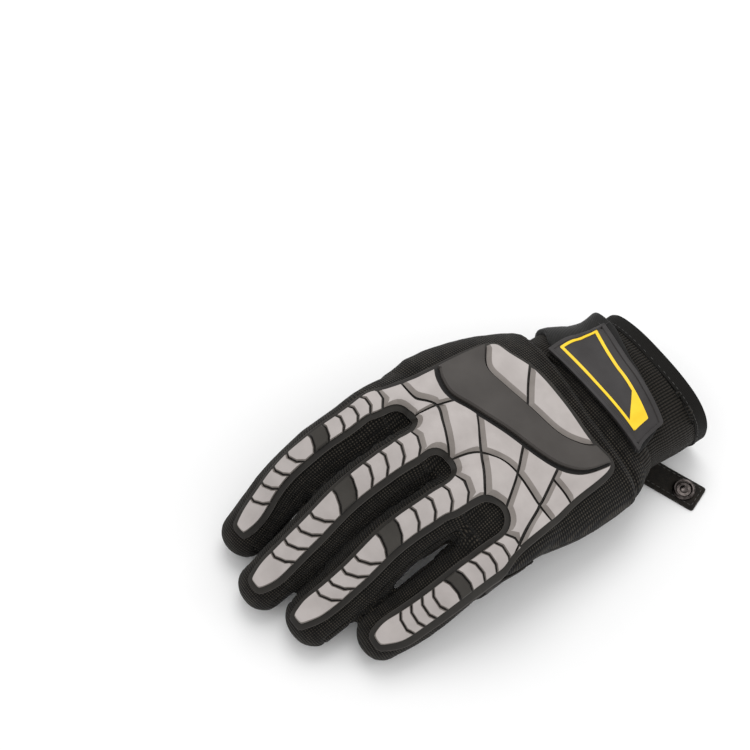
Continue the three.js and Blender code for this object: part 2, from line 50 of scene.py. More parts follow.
camera_turn = math.radians(51)
camera_rise = math.radians(60)
camera_away = 0.770
camera_aim = Vector((-0.07643, 0.01116, 0))
camera_back = Vector((
    math.sin(camera_turn) * math.cos(camera_rise),
    -math.cos(camera_turn) * math.cos(camera_rise),
    math.sin(camera_rise),
))
camera = bpy.data.objects.new("camera", bpy.data.cameras.new("camera"))
camera.data.lens = 85
camera.data.sensor_width = 36
camera.data.clip_start = 0.01
camera.location = camera_aim + camera_back * camera_away
camera.rotation_euler = (-camera_back).to_track_quat("-Z", "Y").to_euler()
scene.collection.objects.link(camera)
scene.camera = camera

sky = bpy.data.worlds.new("studio")
sky.use_nodes = True
sky.node_tree.nodes["Background"].inputs["Color"].default_value = (1, 1, 1, 1)
sky.node_tree.nodes["Background"].inputs["Strength"].default_value = 0.86
scene.world = sky


def lamp(name, spot, aim, size, watts):
    light = bpy.data.lights.new(name, "AREA")
    light.shape = "DISK"
    light.size = size
    light.energy = watts
    holder = bpy.data.objects.new(name, light)
    holder.location = spot
    holder.rotation_euler = (Vector(aim) - Vector(spot)).to_track_quat("-Z", "Y").to_euler()
    scene.collection.objects.link(holder)


lamp("soft_lamp", (-0.35, 0.30, 1.0), (0, 0, 0), size=0.7, watts=3.6)
lamp("side_lamp", (0.55, 0.75, 0.6), (0, 0, 0.02), size=0.5, watts=1.0)


def shade(red, green, blue):
    """A colour as it is seen, 0 to 255, as the light that a surface gives back."""
    return [(v / 255 / 12.92) if v < 10.3 else ((v / 255 + 0.055) / 1.055) ** 2.4 for v in (red, green, blue)]


class Finish:
    """A material, with short ways to add the nodes of its pattern."""

    def __init__(self, name, colour, roughness, **sockets):
        self.material = bpy.data.materials.new(name)
        self.material.use_nodes = True
        self.tree = self.material.node_tree
        self.shader = self.tree.nodes["Principled BSDF"]
        self.shader.inputs["Base Color"].default_value = (*shade(*colour), 1)
        self.shader.inputs["Roughness"].default_value = roughness
        for socket, value in sockets.items():
            self.shader.inputs[socket.replace("_", " ")].default_value = value

    def add(self, kind, inputs=None, **settings):
        node = self.tree.nodes.new(kind)
        for setting, value in settings.items():
            setattr(node, setting, value)
        for socket, value in (inputs or {}).items():
            if isinstance(value, bpy.types.NodeSocket):
                self.tree.links.new(value, node.inputs[socket])
            else:
                node.inputs[socket].default_value = value
        return node

    def where(self):
        return self.add("ShaderNodeTexCoord").outputs["Object"]

    def on_cloth(self):
        return self.add("ShaderNodeUVMap", uv_map="weave").outputs["UV"]

    def noise(self, vector, scale, detail=3.0):
        inputs = {"Vector": vector, "Scale": scale, "Detail": detail}
        return self.add("ShaderNodeTexNoise", inputs).outputs["Fac"]

    def wave(self, vector, way, period, distortion=0.0):
        """Bands of one period, which the texture counts in tenths of pi."""
        inputs = {"Vector": vector, "Scale": math.pi / 10 / period, "Distortion": distortion, "Detail": 1.0}
        return self.add("ShaderNodeTexWave", inputs, bands_direction=way).outputs["Fac"]

    def sum(self, kind, one, other):
        return self.add("ShaderNodeMath", {0: one, 1: other}, operation=kind).outputs[0]

    def colours(self, share, low, high, start=0.0, end=1.0):
        ramp = self.add("ShaderNodeValToRGB", {"Fac": share})
        ramp.color_ramp.elements[0].position = start
        ramp.color_ramp.elements[1].position = end
        ramp.color_ramp.elements[0].color = (*shade(*low), 1)
        ramp.color_ramp.elements[1].color = (*shade(*high), 1)
        self.tree.links.new(ramp.outputs["Color"], self.shader.inputs["Base Color"])

    def mottled(self, scale, low, high):
        """A tone that wanders softly between two colours."""
        self.colours(self.noise(self.where(), scale), low, high, 0.3, 0.7)

    def relief(self, height, depth):
        bump = self.add("ShaderNodeBump", {"Height": height, "Distance": depth, "Strength": 1.0})
        self.tree.links.new(bump.outputs["Normal"], self.shader.inputs["Normal"])

    def dullness(self, share, low, high):
        inputs = {"Value": share, "To Min": low, "To Max": high}
        spread = self.add("ShaderNodeMapRange", inputs)
        self.tree.links.new(spread.outputs["Result"], self.shader.inputs["Roughness"])


table_finish = Finish("table_white", (250, 250, 250), 0.9)
table_finish.relief(table_finish.noise(table_finish.where(), 60), 0.00002)


def piece_of(name, bm, *finishes, sharp=None):
    """Makes a finished bmesh an object at the origin, with its materials in the order of its face numbers."""
    mesh = bpy.data.meshes.new(name)
    bm.to_mesh(mesh)
    bm.free()
    mesh.shade_smooth()
    if sharp:
        mesh.set_sharp_from_angle(angle=math.radians(sharp))
    for finish in finishes:
        mesh.materials.append(finish.material)
    piece = bpy.data.objects.new(name, mesh)
    scene.collection.objects.link(piece)
    return piece


table_bm = bmesh.new()
bmesh.ops.create_grid(table_bm, x_segments=2, y_segments=2, size=3)
table = piece_of("table_top", table_bm, table_finish)

# Hand. Fingers and back of stretch knit and a palm of thin suede are cut flat, sewn inside out and turned,
# so that the finished hand is one soft hollow form with its seams drawn in. It is shaped here from rounded
# sections, grown together, and then shared out among the panels that it is sewn from.
mm = 0.001
drawing_middle = Vector((2.57, 5.16, 0))
power_palm = 2.5
power_finger = 2.2

# Each row is x, y, z, half width, half height in millimetres and the roll in degrees.
palm_rows = [
    (-2, 64, 20.6, 37, 20, 2), (-2, 54, 21.3, 38.5, 20, 3), (-2, 44, 22.4, 44.2, 20.5, 5),
    (-4.6, 27, 27, 47, 20.5, 8), (-8.5, 8, 33, 48, 18.5, 10), (-10, -7, 36.7, 48, 16, 11),
    (-12, -17, 38, 45.5, 13.5, 11),
]
finger_rows = {
    "index": [
        (-37.6, 8, 38.5, 11.1, 12, -14), (-41.2, -6, 43, 12.4, 12.6, -20),
        (-43.5, -22, 45.6, 12.3, 12.4, -20), (-44.6, -34, 43.4, 11.9, 11.8, -19),
        (-47.4, -47, 37.8, 11.7, 11.2, -17), (-49.9, -59.6, 28.4, 11.5, 10.4, -14),
        (-50.6, -70, 19.8, 11, 9.9, -10), (-50, -86, 9, 9.9, 9.2, -6),
    ],
    "middle": [
        (-17, 8, 39, 10.8, 12, 6), (-18, -6, 44, 11.2, 12.6, 6), (-20.2, -22, 45.7, 11.2, 12.6, 6),
        (-22.2, -34.2, 43, 11.2, 12, 6), (-24.6, -50.5, 35.4, 11.5, 11.2, 6),
        (-25.8, -67, 24.2, 11.4, 10.4, 5), (-26.7, -78, 16.8, 11, 9.9, 4), (-27.6, -94.5, 8.8, 10.1, 9.1, 3),
    ],
    "ring": [
        (6, 9, 35.5, 10.8, 12, 10), (5, -4, 39, 11.2, 12.2, 10), (3.6, -19, 40.6, 11.4, 12.2, 10),
        (1.4, -31.8, 37.8, 11.4, 11.6, 10), (-1.5, -48.1, 30.2, 11.7, 10.8, 10),
        (-2.3, -63.5, 20.2, 12.4, 10, 10), (-3, -73, 14.4, 12, 9.6, 10), (-3.9, -88.5, 8.6, 10.9, 9, 8),
    ],
    "pinky": [
        (27.4, 10, 27, 10, 10, 24), (27, -2, 30, 11.2, 11.4, 26), (26.4, -14, 30.4, 11.4, 11.4, 28),
        (24.6, -24.6, 27.6, 11.2, 11, 28), (22.8, -37.8, 21.4, 11.5, 10.6, 28),
        (21.2, -51, 15, 11.6, 10, 26), (20, -60, 11.4, 11.2, 9.6, 24), (18.6, -71, 8.7, 10.1, 9, 20),
    ],
}
thumb_rows = [
    (-30, 32, 21, 14, 15, 0), (-38, 14, 17, 13.5, 14, 0), (-38, -6, 12.4, 12, 12, 0),
    (-31, -22, 11, 11.4, 11.3, 0), (-20, -35, 10.4, 10.6, 10.6, 0),
]
skyward = Vector((0, 0, 1))
thumb_nail_way = Vector((-0.75, 0.1, 0.65))
palm_end_reach = 7
tip_reach = 8.6


def placed(point):
    """A point of the drawing, in millimetres, at its place on the table."""
    return (Vector(point) + drawing_middle) * mm


def between(rows, spot):
    """The row at a place counted in rows, on a smooth line through them."""
    i = min(int(spot), len(rows) - 2)
    t = spot - i
    near = (rows[max(i - 1, 0)], rows[i], rows[i + 1], rows[min(i + 2, len(rows) - 1)])
    return [
        0.5 * (2 * b + (c - a) * t + (2 * a - 5 * b + 4 * c - d) * t * t + (3 * b - a - 3 * c + d) * t**3)
        for a, b, c, d in zip(*near)
    ]


def ring_at(rows, spot, hint=skyward, reach=0, part=0.05):
    """A section's centre, its ways along, across and up, and its half width and height."""
    last = len(rows) - 1
    here = min(spot, last)
    row = between(rows, here)
    ahead = Vector(between(rows, min(here + part, last))[:3])
    along = (ahead - Vector(between(rows, max(here - part, 0))[:3])).normalized()
    across = hint.cross(along).normalized()
    turn = Matrix.Rotation(math.radians(-row[5]), 3, along)
    centre, width, height = Vector(row[:3]), row[3], row[4]
    if spot > last:
        bend = (spot - last) * math.pi / 2
        centre += along * reach * math.sin(bend)
        width -= (width if width < 2 * reach else reach) * (1 - math.cos(bend))
        height *= math.cos(bend)
    return centre, along, turn @ across, turn @ along.cross(across), width, height


def squarer(value, power):
    """Pushes a sine or cosine outwards, so that a round section becomes a rounded box."""
    return math.copysign(abs(value) ** (2 / power), value)


def wrap(bm, rows, power, hint=skyward, reach=0, around=48, steps=6):
    """Wraps a grid round a limb's sections and closes its two ends."""
    spans = len(rows) - 1 + (1 if reach else 0)
    grid = bmesh.ops.create_grid(bm, x_segments=around, y_segments=spans * steps, size=0.5)["verts"]
    rings = {}
    for vert in grid:
        spot = round((vert.co.y + 0.5) * spans * steps) / steps
        if spot not in rings:
            rings[spot] = ring_at(rows, spot, hint, reach)
        centre, along, across, up, width, height = rings[spot]
        turn = (vert.co.x + 0.5) * 2 * math.pi
        sideways = squarer(math.cos(turn), power) * width
        vert.co = placed(centre + across * sideways + up * (squarer(math.sin(turn), power) * height))
    faces = {face for vert in grid for face in vert.link_faces}
    bmesh.ops.remove_doubles(bm, verts=grid, dist=0.01 * mm)
    rims = [edge for edge in bm.edges if edge.is_boundary]
    bmesh.ops.holes_fill(bm, edges=rims)
    return faces


def grown_together(name, limbs, voxel, passes):
    """One smooth closed skin round several limbs that run into each other."""
    bm = bmesh.new()
    for rows, power, hint, reach in limbs:
        wrap(bm, rows, power, hint, reach)
    bmesh.ops.recalc_face_normals(bm, faces=bm.faces)
    form = piece_of(name, bm)
    remesh = form.modifiers.new("grow", "REMESH")
    remesh.mode = "VOXEL"
    remesh.voxel_size = voxel * mm
    smooth = form.modifiers.new("smooth", "SMOOTH")
    smooth.factor = 0.5
    smooth.iterations = passes
    skin = bpy.data.meshes.new_from_object(form.evaluated_get(bpy.context.evaluated_depsgraph_get()))
    bpy.data.objects.remove(form)
    return skin


limbs = [(palm_rows, power_palm, skyward, palm_end_reach)]
limbs += [(rows, power_finger, skyward, tip_reach) for rows in finger_rows.values()]
thumb_limb = (thumb_rows, power_finger, thumb_nail_way, tip_reach)
hand_skin = grown_together("hand_form", limbs + [thumb_limb], voxel=0.9, passes=5)
broad_skin = grown_together("broad_form", limbs, voxel=2.4, passes=6)

skin_bm = bmesh.new()
skin_bm.from_mesh(hand_skin)
hand_tree = BVHTree.FromBMesh(skin_bm)

# Each face belongs to the panel of the solid that lies nearest to it.
panels = [
    "back_panel", "palm_panel", "index_middle_fourchette", "middle_ring_fourchette",
    "ring_pinky_fourchette", "index_tip_cap", "thumb_back", "thumb_front", "thumb_tip_cap",
]
panel_points, panel_faces, panel_of = [], [], []
for number, name in enumerate(panels):
    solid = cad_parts[name]
    first = len(panel_points)
    panel_points += [solid.matrix_world @ vert.co for vert in solid.data.vertices]
    for polygon in solid.data.polygons:
        panel_faces.append([first + i for i in polygon.vertices])
        panel_of.append(number)
panel_tree = BVHTree.FromPolygons(panel_points, panel_faces)

wrist_y = 54
bmesh.ops.bisect_plane(
    skin_bm, geom=skin_bm.verts[:] + skin_bm.edges[:] + skin_bm.faces[:], dist=0.01 * mm,
    plane_co=placed((0, wrist_y, 0)), plane_no=(0, 1, 0), clear_outer=True,
)
panel_layer = skin_bm.faces.layers.int.new("panel")
for face in skin_bm.faces:
    face[panel_layer] = panel_of[panel_tree.find_nearest(face.calc_center_median())[2]]
border_passes = 4
for _ in range(border_passes):
    changes = []
    for face in skin_bm.faces:
        near = [other[panel_layer] for edge in face.edges for other in edge.link_faces if other is not face]
        common = max(set(near), key=near.count) if near else face[panel_layer]
        if common != face[panel_layer] and near.count(common) * 2 > len(near):
            changes.append((face, common))
    for face, number in changes:
        face[panel_layer] = number

# The seam lines are eased along the skin, and then drawn in as the thread draws them.
seam_passes = 14
seams = [
    edge for edge in skin_bm.edges
    if len(edge.link_faces) == 2 and edge.link_faces[0][panel_layer] != edge.link_faces[1][panel_layer]
]
on_seam = {}
for edge in seams:
    one, other = edge.verts
    on_seam.setdefault(one, []).append(other)
    on_seam.setdefault(other, []).append(one)
beside_seam = {v for vert in on_seam for edge in vert.link_edges for v in edge.verts} - set(on_seam)
for _ in range(seam_passes):
    moves = {v: sum((n.co for n in near), Vector()) / len(near) for v, near in on_seam.items()}
    for vert, goal in moves.items():
        vert.co = hand_tree.find_nearest(vert.co.lerp(goal, 0.5))[0]
    bmesh.ops.smooth_vert(
        skin_bm, verts=list(beside_seam), factor=0.5, use_axis_x=True, use_axis_y=True, use_axis_z=True,
    )
skin_bm.normal_update()
seam_depth = 0.5
beside_seam_share = 0.35
knit_unevenness = [dict(height=0.3, per_metre=75), dict(height=0.12, per_metre=210)]
wrist_crease = [(-60, 56), (-29.1, 53.2), (-16.2, 51.1), (-2.2, 48.8), (8.6, 46.8), (20.7, 45.7), (60, 45)]
crease_depth = 1.3
crease_half = 1.2
welt_height = 0.9
welt_half = 1.8
welt_off = 3


def wrist_fold(vert):
    """How far the cloth stands out or in where the back is gathered at the wrist."""
    x, y, _ = vert.co / mm - drawing_middle
    for (x0, y0), (x1, y1) in zip(wrist_crease, wrist_crease[1:]):
        if x0 <= x < x1:
            away = y - y0 - (y1 - y0) * (x - x0) / (x1 - x0)
            sink = crease_depth * math.exp(-((away / crease_half) ** 2))
            rise = welt_height * math.exp(-(((away + welt_off) / welt_half) ** 2))
            return (rise - sink) * min(max(vert.normal.z * 3 + 1, 0), 1)
    return 0


for vert in skin_bm.verts:
    sink = seam_depth if vert in on_seam else (seam_depth * beside_seam_share if vert in beside_seam else 0)
    uneven = sum(noise.noise(vert.co * wave["per_metre"]) * wave["height"] for wave in knit_unevenness)
    vert.co += vert.normal * (uneven - sink + wrist_fold(vert)) * mm
    vert.co.z = max(vert.co.z, 0)

# The cloth's own map runs along each finger and round it, in millimetres.
spots_along = 120
finger_radius = 11
lines = {name: (rows, skyward) for name, rows in finger_rows.items()}
lines["thumb"] = (thumb_rows, thumb_nail_way)
line_spots, line_trees = {}, {}
for name, (rows, hint) in lines.items():
    spots, run, before = [], 0.0, None
    for i in range(spots_along + 1):
        centre, along, across, up, width, height = ring_at(rows, i / spots_along * (len(rows) - 1), hint)
        run += (centre - before).length if before else 0
        before = centre
        spots.append((placed(centre), along, across, up, run))
    line_spots[name] = spots
    line_trees[name] = KDTree(len(spots))
    for i, spot in enumerate(spots):
        line_trees[name].insert(spot[0], i)
    line_trees[name].balance()
thumb_numbers = {i for i, name in enumerate(panels) if name.startswith("thumb")}
finger_root_y = placed((0, -24, 0)).y


def cloth_place(point, number):
    """Where a point of a panel lies along its finger and round it, or in plan on the palm and back."""
    if number in thumb_numbers:
        names = ["thumb"]
    elif point.y < finger_root_y:
        names = list(finger_rows)
    else:
        return point.y / mm, point.x / mm
    near = [(line_trees[name].find(point), name) for name in names]
    (_, i, _), name = min(near, key=lambda item: item[0][2])
    centre, along, across, up, run = line_spots[name][i]
    away = point - centre
    return run + away.dot(along) / mm, math.atan2(away.dot(up), away.dot(across)) * finger_radius


weave_layer = skin_bm.loops.layers.uv.new("weave")
for face in skin_bm.faces:
    for loop in face.loops:
        loop[weave_layer].uv = cloth_place(loop.vert.co, face[panel_layer])

cloth_sheen = dict(Sheen_Weight=0.05, Sheen_Roughness=0.5, Specular_IOR_Level=0.2)
knit_rib = 1.05
knit_row = 1.1
knit = Finish("stretch_knit", (24, 22, 19), 0.92, **cloth_sheen)
ribs = knit.wave(knit.on_cloth(), "X", knit_rib, 0.5)
rows_of_loops = knit.wave(knit.on_cloth(), "Y", knit_row, 0.5)
loops = knit.sum("MULTIPLY", ribs, rows_of_loops)
worn_loops = knit.sum("MULTIPLY", loops, knit.noise(knit.where(), 260))
knit.colours(worn_loops, (8, 7, 6), (76, 70, 61), 0.08, 0.62)
knit.relief(knit.sum("ADD", ribs, loops), 0.0002)

suede = Finish("suede", (38, 34, 28), 0.95, Sheen_Weight=0.1, Sheen_Roughness=0.6, Specular_IOR_Level=0.2)
suede_nap = suede.noise(suede.where(), 420, 6)
suede_tone = suede.sum("MULTIPLY", suede_nap, suede.noise(suede.where(), 2600))
suede.colours(suede_tone, (11, 10, 8), (44, 39, 32), 0.12, 0.5)
suede.relief(suede.noise(suede.where(), 1900, 5), 0.0002)

leather = Finish("smooth_leather", (48, 45, 45), 0.48)
leather_cells = leather.add("ShaderNodeTexVoronoi", {"Vector": leather.where(), "Scale": 900})
leather.mottled(160, (38, 35, 35), (62, 59, 59))
leather.relief(leather_cells.outputs["Distance"], 0.00012)
leather.dullness(leather.noise(leather.where(), 300), 0.4, 0.6)

panel_finish = {
    "back_panel": (knit, "knit"), "palm_panel": (suede, "suede"), "index_middle_fourchette": (knit, "knit"),
    "middle_ring_fourchette": (knit, "knit"), "ring_pinky_fourchette": (knit, "knit"),
    "index_tip_cap": (leather, "leather"), "thumb_back": (knit, "knit"), "thumb_front": (suede, "suede"),
    "thumb_tip_cap": (leather, "leather"),
}
panel_wall = 1.3


def walled(piece, wall, rounding=0.0):
    """Gives a piece of cloth its thickness, inwards, and rounds its edges where asked."""
    solid = piece.modifiers.new("wall", "SOLIDIFY")
    solid.thickness = wall * mm
    solid.offset = -1
    if rounding:
        soft = piece.modifiers.new("rounding", "BEVEL")
        soft.width = rounding * mm
        soft.segments = 3
        soft.limit_method = "ANGLE"
        soft.angle_limit = math.radians(50)


for number, name in enumerate(panels):
    bm = skin_bm.copy()
    layer = bm.faces.layers.int["panel"]
    bmesh.ops.delete(bm, geom=[face for face in bm.faces if face[layer] != number], context="FACES")
    finish, slot = panel_finish[name]
    panel = piece_of(f"{name}_cloth", bm, finish)
    walled(panel, panel_wall)
    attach(panel, "root")
    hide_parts(name)
skin_tree = BVHTree.FromBMesh(skin_bm)

# Knuckle guard. A thin dark rubber flange carries raised light plates over the back of the hand and down
# each finger. It is moulded flat in one piece, moulded plates and all, and then glued on over the knit,
# which it follows. Every plate slopes down at the side that faces the fingertips.
guard_lift = 0.3
guard_top = {"flange": 1.0, "wall": 1.7, "plate": 2.4, "saddle": 2.8, "band": 3.4}
flange_width = 1.7
flange_rim = 0.32
back_groove_half = 0.5
strip_groove_half = 0.3
back_slope = 2.0
strip_slope = 0.5
edge_width = 0.22
band_channel = 1.3
plan_step = 2.2
back_edge = [
    (-39, -28), (-47.6, -27), (-44.8, -10), (-42.6, 5), (-42, 14), (-38.8, 34.2), (-30, 37.6), (-18, 41.2),
    (0, 41.2), (17.3, 39.6), (27.7, 41.2), (31.6, 38.2), (32.8, 30), (33.2, 16), (34.8, 0), (35.2, -12),
    (34.9, -26), (24, -28),
]
slot_length = 70
slots = [(-30.8, -21.2, 6.1, -0.2), (-6.8, -21.4, 6, -0.21), (18.9, -16.6, 6.2, -0.13)]
back_grooves = [
    [(-48, -10.4), (-45, -10.2), (-37, -9.6), (-27.4, -4.4), (-18.6, -8.9), (-8, -15)],
    [(-27.4, -4.8), (-24.4, 4.6)],
    [(-29.5, -16), (-28.4, -9), (-27.3, -4)],
    [(-8, -15), (-2.1, -3.1), (11, 2.8), (25.9, 2.6), (37, 3.5)],
    [(-16, 7.2), (-14.5, 5), (-1.6, -3.6)],
    [(-3, -2.6), (5, -8), (13, -15)],
    [(4, 13.6), (11.8, 3.2), (20.5, -10.5)],
    [(18.2, 20), (19.5, 17.5), (26.2, 2.4), (34, -17)],
    [(20.4, 13.8), (28, 14.6), (37, 14.2)],
    [(-23.4, 41.5), (-15, 32.5), (-6.4, 24.6)],
]
band_lower = [
    (-46, 7.6), (-41.2, 6), (-36, 3), (-28, 1.6), (-18.2, 4.8), (-4, 10), (10, 14.2), (18.6, 18.2),
    (23.8, 23), (26.6, 29), (28.4, 38.4), (29, 44),
]
band_upper = [
    (-44, 34.5), (-38, 30), (-29.5, 23), (-20, 23.3), (-6, 25.8), (8, 28.2), (16, 32.8), (19.9, 38.2),
    (21, 44),
]
# Each strip's tip, cells, dark saddle and scales, as y along its middle line. Its shift from the finger's
# middle is given at the tip and at the root, and a lean is how far a line's right end lies nearer the wrist.
strips = {
    "index": dict(tip=-89.4, cell=6.3, saddle=(-49.2, -43.2), scale=5.5, half_width=5.6, shift=(2.3, 4.2),
                  cell_lean=4.7, scale_lean=-0.3),
    "middle": dict(tip=-98.9, cell=6.35, saddle=(-57.1, -49.8), scale=6.7, half_width=6.1, shift=(1, 0.4),
                   cell_lean=4.3, scale_lean=-2.6),
    "ring": dict(tip=-94.9, cell=6.1, saddle=(-53.7, -46.5), scale=6.8, half_width=6.2, shift=(-1.2, 0),
                 cell_lean=4.6, scale_lean=-2.1),
    "pinky": dict(tip=-76.2, cell=4.8, saddle=(-41.8, -36.6), scale=5.4, half_width=6.6, shift=(0.4, 0.3),
                  cell_lean=-1, scale_lean=0.2),
}
strip_root = -14
strip_shift_reach = 40
strip_tip_half = 3.5
strip_taper = 11
strip_root_half_share = 0.3
strip_root_taper = 10
strip_overrun = 1.5
cell_count = 4
cell_bulge = 4.2
saddle_bulge = -2.2
scale_bulge = -3.4
bulge_flat = 0.25
bulge_fall = 1.43


def smooth_line(points, step=1.6):
    """Points close together on a smooth line through a few."""
    line = []
    for i in range(len(points) - 1):
        steps = max(1, round((Vector(points[i + 1]) - Vector(points[i])).length / step))
        line += [Vector(between(points, i + k / steps)) for k in range(steps)]
    return line + [Vector(points[-1])]


spots_over = 180
past_tip = 16
strip_spots = {}
for name, rows in finger_rows.items():
    tops = []
    for i in range(spots_over + 1):
        centre, along, across, up, width, height = ring_at(rows, i / spots_over * (len(rows) - 1))
        tops.append(((centre + up * height).xy, across.xy, along.xy))
    tip, tip_across, tip_along = tops[-1]
    tops += [(tip + tip_along * k, tip_across, tip_along) for k in range(1, past_tip + 1)]
    strip_spots[name] = tops


def strip_point(name, y, sideways, onwards=0):
    """A plan point on a finger's strip, from its y, its way off the middle line and its way on to the tip."""
    middle, across, along = min(strip_spots[name], key=lambda spot: abs(spot[0].y - y))
    middle = Vector((middle.x, y))
    at_tip, at_root = strips[name]["shift"]
    share = min(max((y - strips[name]["tip"]) / strip_shift_reach, 0), 1)
    return middle + across * (sideways + at_tip + (at_root - at_tip) * share) + along * onwards


def strip_side(name, sign):
    """One long side of a strip, narrower at its tip and at its root."""
    strip = strips[name]
    count = 40
    side = []
    for i in range(count + 1):
        y = strip_root + (strip["tip"] - strip_root) * i / count
        share = min((y - strip["tip"]) / strip_taper, 1)
        half = strip_tip_half + (strip["half_width"] - strip_tip_half) * math.sin(share * math.pi / 2)
        root_share = math.sin(min((strip_root - y) / strip_root_taper, 1) * math.pi / 2)
        half *= strip_root_half_share + (1 - strip_root_half_share) * root_share
        side.append(strip_point(name, y, sign * half))
    return side


def across_strip(name, y, bulge, lean):
    """A line over a strip, straight at its middle, with ends that bend towards the tip or the root."""
    end = strips[name]["half_width"] + strip_overrun
    flange_ends = flange_width + strip_groove_half
    spots = []
    for away in (-1, -0.6, -bulge_flat, bulge_flat, 0.6, 1):
        leaning_on = lean / 2 * away * end / (end - strip_overrun - flange_ends)
        onwards = bulge * (0.5 - bulge_fall * max(abs(away) - bulge_flat, 0))
        spots.append(strip_point(name, y + leaning_on, away * end, onwards))
    return spots


def slot_line(x, y, radius, lean, steps=14):
    """A slot between two fingers, from its right side round its end to its left side."""
    turns = [math.pi * k / steps for k in range(steps + 1)]
    arc = [Vector((x + radius * math.cos(turn), y + radius * math.sin(turn))) for turn in turns]
    far = Vector((slot_length * lean, -slot_length))
    return [arc[0] + far] + arc + [arc[-1] + far]


def inside(point, corners):
    """Whether a flat point lies within an outline."""
    within = False
    for one, other in zip(corners, corners[1:] + corners[:1]):
        if (one.y > point.y) != (other.y > point.y):
            if point.x < one.x + (point.y - one.y) * (other.x - one.x) / (other.y - one.y):
                within = not within
    return within


def inner_point(face):
    """A flat point well inside a face: the middle of the largest triangle that it is made of."""
    corners = [vert.co for vert in face.verts]
    triangles = [[corners[i] for i in numbers] for numbers in tessellate_polygon([corners])]
    largest = max(triangles, key=lambda item: (item[1] - item[0]).cross(item[2] - item[0]).length)
    return ((largest[0] + largest[1] + largest[2]) / 3).xy


def cut(bm, line, closed=False, snap=0.25):
    """Cuts flat faces along a line, wherever it runs from one of their edges to another."""
    count = len(line)
    line = line + line[:1] if closed else line
    meets = {}
    for i, (start, end) in enumerate(zip(line, line[1:])):
        for edge in list(bm.edges):
            one, other = edge.verts
            meet = intersect_line_line_2d(start, end, one.co.xy, other.co.xy)
            if not meet:
                continue
            if (meet - one.co.xy).length < snap:
                vert = one
            elif (meet - other.co.xy).length < snap:
                vert = other
            else:
                share = (meet - one.co.xy).length / (other.co.xy - one.co.xy).length
                vert = bmesh.utils.edge_split(edge, one, share)[1]
            meets.setdefault(vert, i + (meet - start).length / (end - start).length)
    stops = sorted(meets.items(), key=lambda item: item[1])
    if closed and stops:
        stops.append((stops[0][0], stops[0][1] + count))
    for (vert, begin), (other, finish) in zip(stops, stops[1:]):
        numbers = range(math.floor(begin) + 1, math.ceil(finish))
        inner = [line[k % count] if closed else line[k] for k in numbers]
        inner = [p for p in inner if min((p - vert.co.xy).length, (p - other.co.xy).length) > snap * 0.6]
        path = [vert.co.xy] + inner + [other.co.xy]
        half = len(path) // 2
        middle = (path[half - 1] + path[half]) / 2
        if not inner and any(other in edge.verts for edge in vert.link_edges):
            continue
        for face in set(vert.link_faces) & set(other.link_faces):
            if inside(middle, [v.co.xy for v in face.verts]):
                bmesh.utils.face_split(face, vert, other, coords=[(p.x, p.y, 0) for p in inner])
                break


def stretched(line, extra=0.4):
    """A line run on a little past both its ends."""
    first = line[0] + (line[0] - line[1]).normalized() * extra
    last = line[-1] + (line[-1] - line[-2]).normalized() * extra
    return [first] + line + [last]


# One flat sheet is cut along every outline, and what belongs to the guard is kept and made one again.
network = bmesh.new()
bmesh.ops.create_grid(network, x_segments=1, y_segments=2, size=125)
back_area = smooth_line(back_edge + back_edge[:1])[:-1]
slot_areas = [slot_line(*slot) for slot in slots]
strip_areas = [strip_side(name, 1) + strip_side(name, -1)[::-1] for name in strips]
cut(network, back_area, closed=True)
for area in slot_areas:
    cut(network, area)
for area in strip_areas:
    cut(network, area, closed=True)


def of_guard(point):
    """Whether a flat point belongs to the guard: to its back or to one of its strips."""
    on_back = inside(point, back_area) and not any(inside(point, area) for area in slot_areas)
    return on_back or any(inside(point, area) for area in strip_areas)


waste = [face for face in network.faces if not of_guard(inner_point(face))]
bmesh.ops.delete(network, geom=waste, context="FACES")
bmesh.ops.dissolve_faces(network, faces=network.faces[:])


def evened(corners, step, passes):
    """An outline with its corners evenly apart and a little rounded."""
    lengths = [(b - a).length for a, b in zip(corners, corners[1:] + corners[:1])]
    count = round(sum(lengths) / step)
    line, i, gone = [], 0, 0.0
    for k in range(count):
        goal = sum(lengths) * k / count
        while gone + lengths[i] < goal:
            gone += lengths[i]
            i += 1
        line.append(corners[i].lerp(corners[(i + 1) % len(corners)], (goal - gone) / lengths[i]))
    for _ in range(passes):
        line = [(line[k - 1] + line[k] * 2 + line[(k + 1) % count]) / 4 for k in range(count)]
    return line


whole = max(network.faces, key=lambda face: len(face.verts))
guard_outline = evened([vert.co.xy for vert in whole.verts], step=1.1, passes=4)
network.clear()
kind = network.faces.layers.int.new("kind")
network.faces.new([network.verts.new((point.x, point.y, 0)) for point in guard_outline])
network.normal_update()
plate_kind, flange_kind, band_kind, saddle_kind = range(4)
flange = bmesh.ops.inset_region(
    network, faces=network.faces[:], thickness=flange_width, use_boundary=True, use_even_offset=True,
)
for face in flange["faces"]:
    face[kind] = flange_kind
saddle_areas = []
for name, strip in strips.items():
    lower = across_strip(name, strip["saddle"][0], saddle_bulge, strip["scale_lean"])
    upper = across_strip(name, strip["saddle"][1], saddle_bulge, strip["scale_lean"])
    saddle_areas.append(lower + upper[::-1])
    cut(network, lower)
    cut(network, upper)
    for count in range(1, cell_count + 1):
        cell_y = strip["saddle"][0] - count * strip["cell"]
        scale_y = strip["saddle"][1] + count * strip["scale"]
        cut(network, across_strip(name, cell_y, cell_bulge, strip["cell_lean"]))
        cut(network, across_strip(name, scale_y, scale_bulge, strip["scale_lean"]))
band_area = smooth_line(band_lower) + smooth_line(band_upper)[::-1]
cut(network, smooth_line(band_lower))
cut(network, smooth_line(band_upper))
for groove in back_grooves:
    cut(network, stretched(smooth_line(groove)))

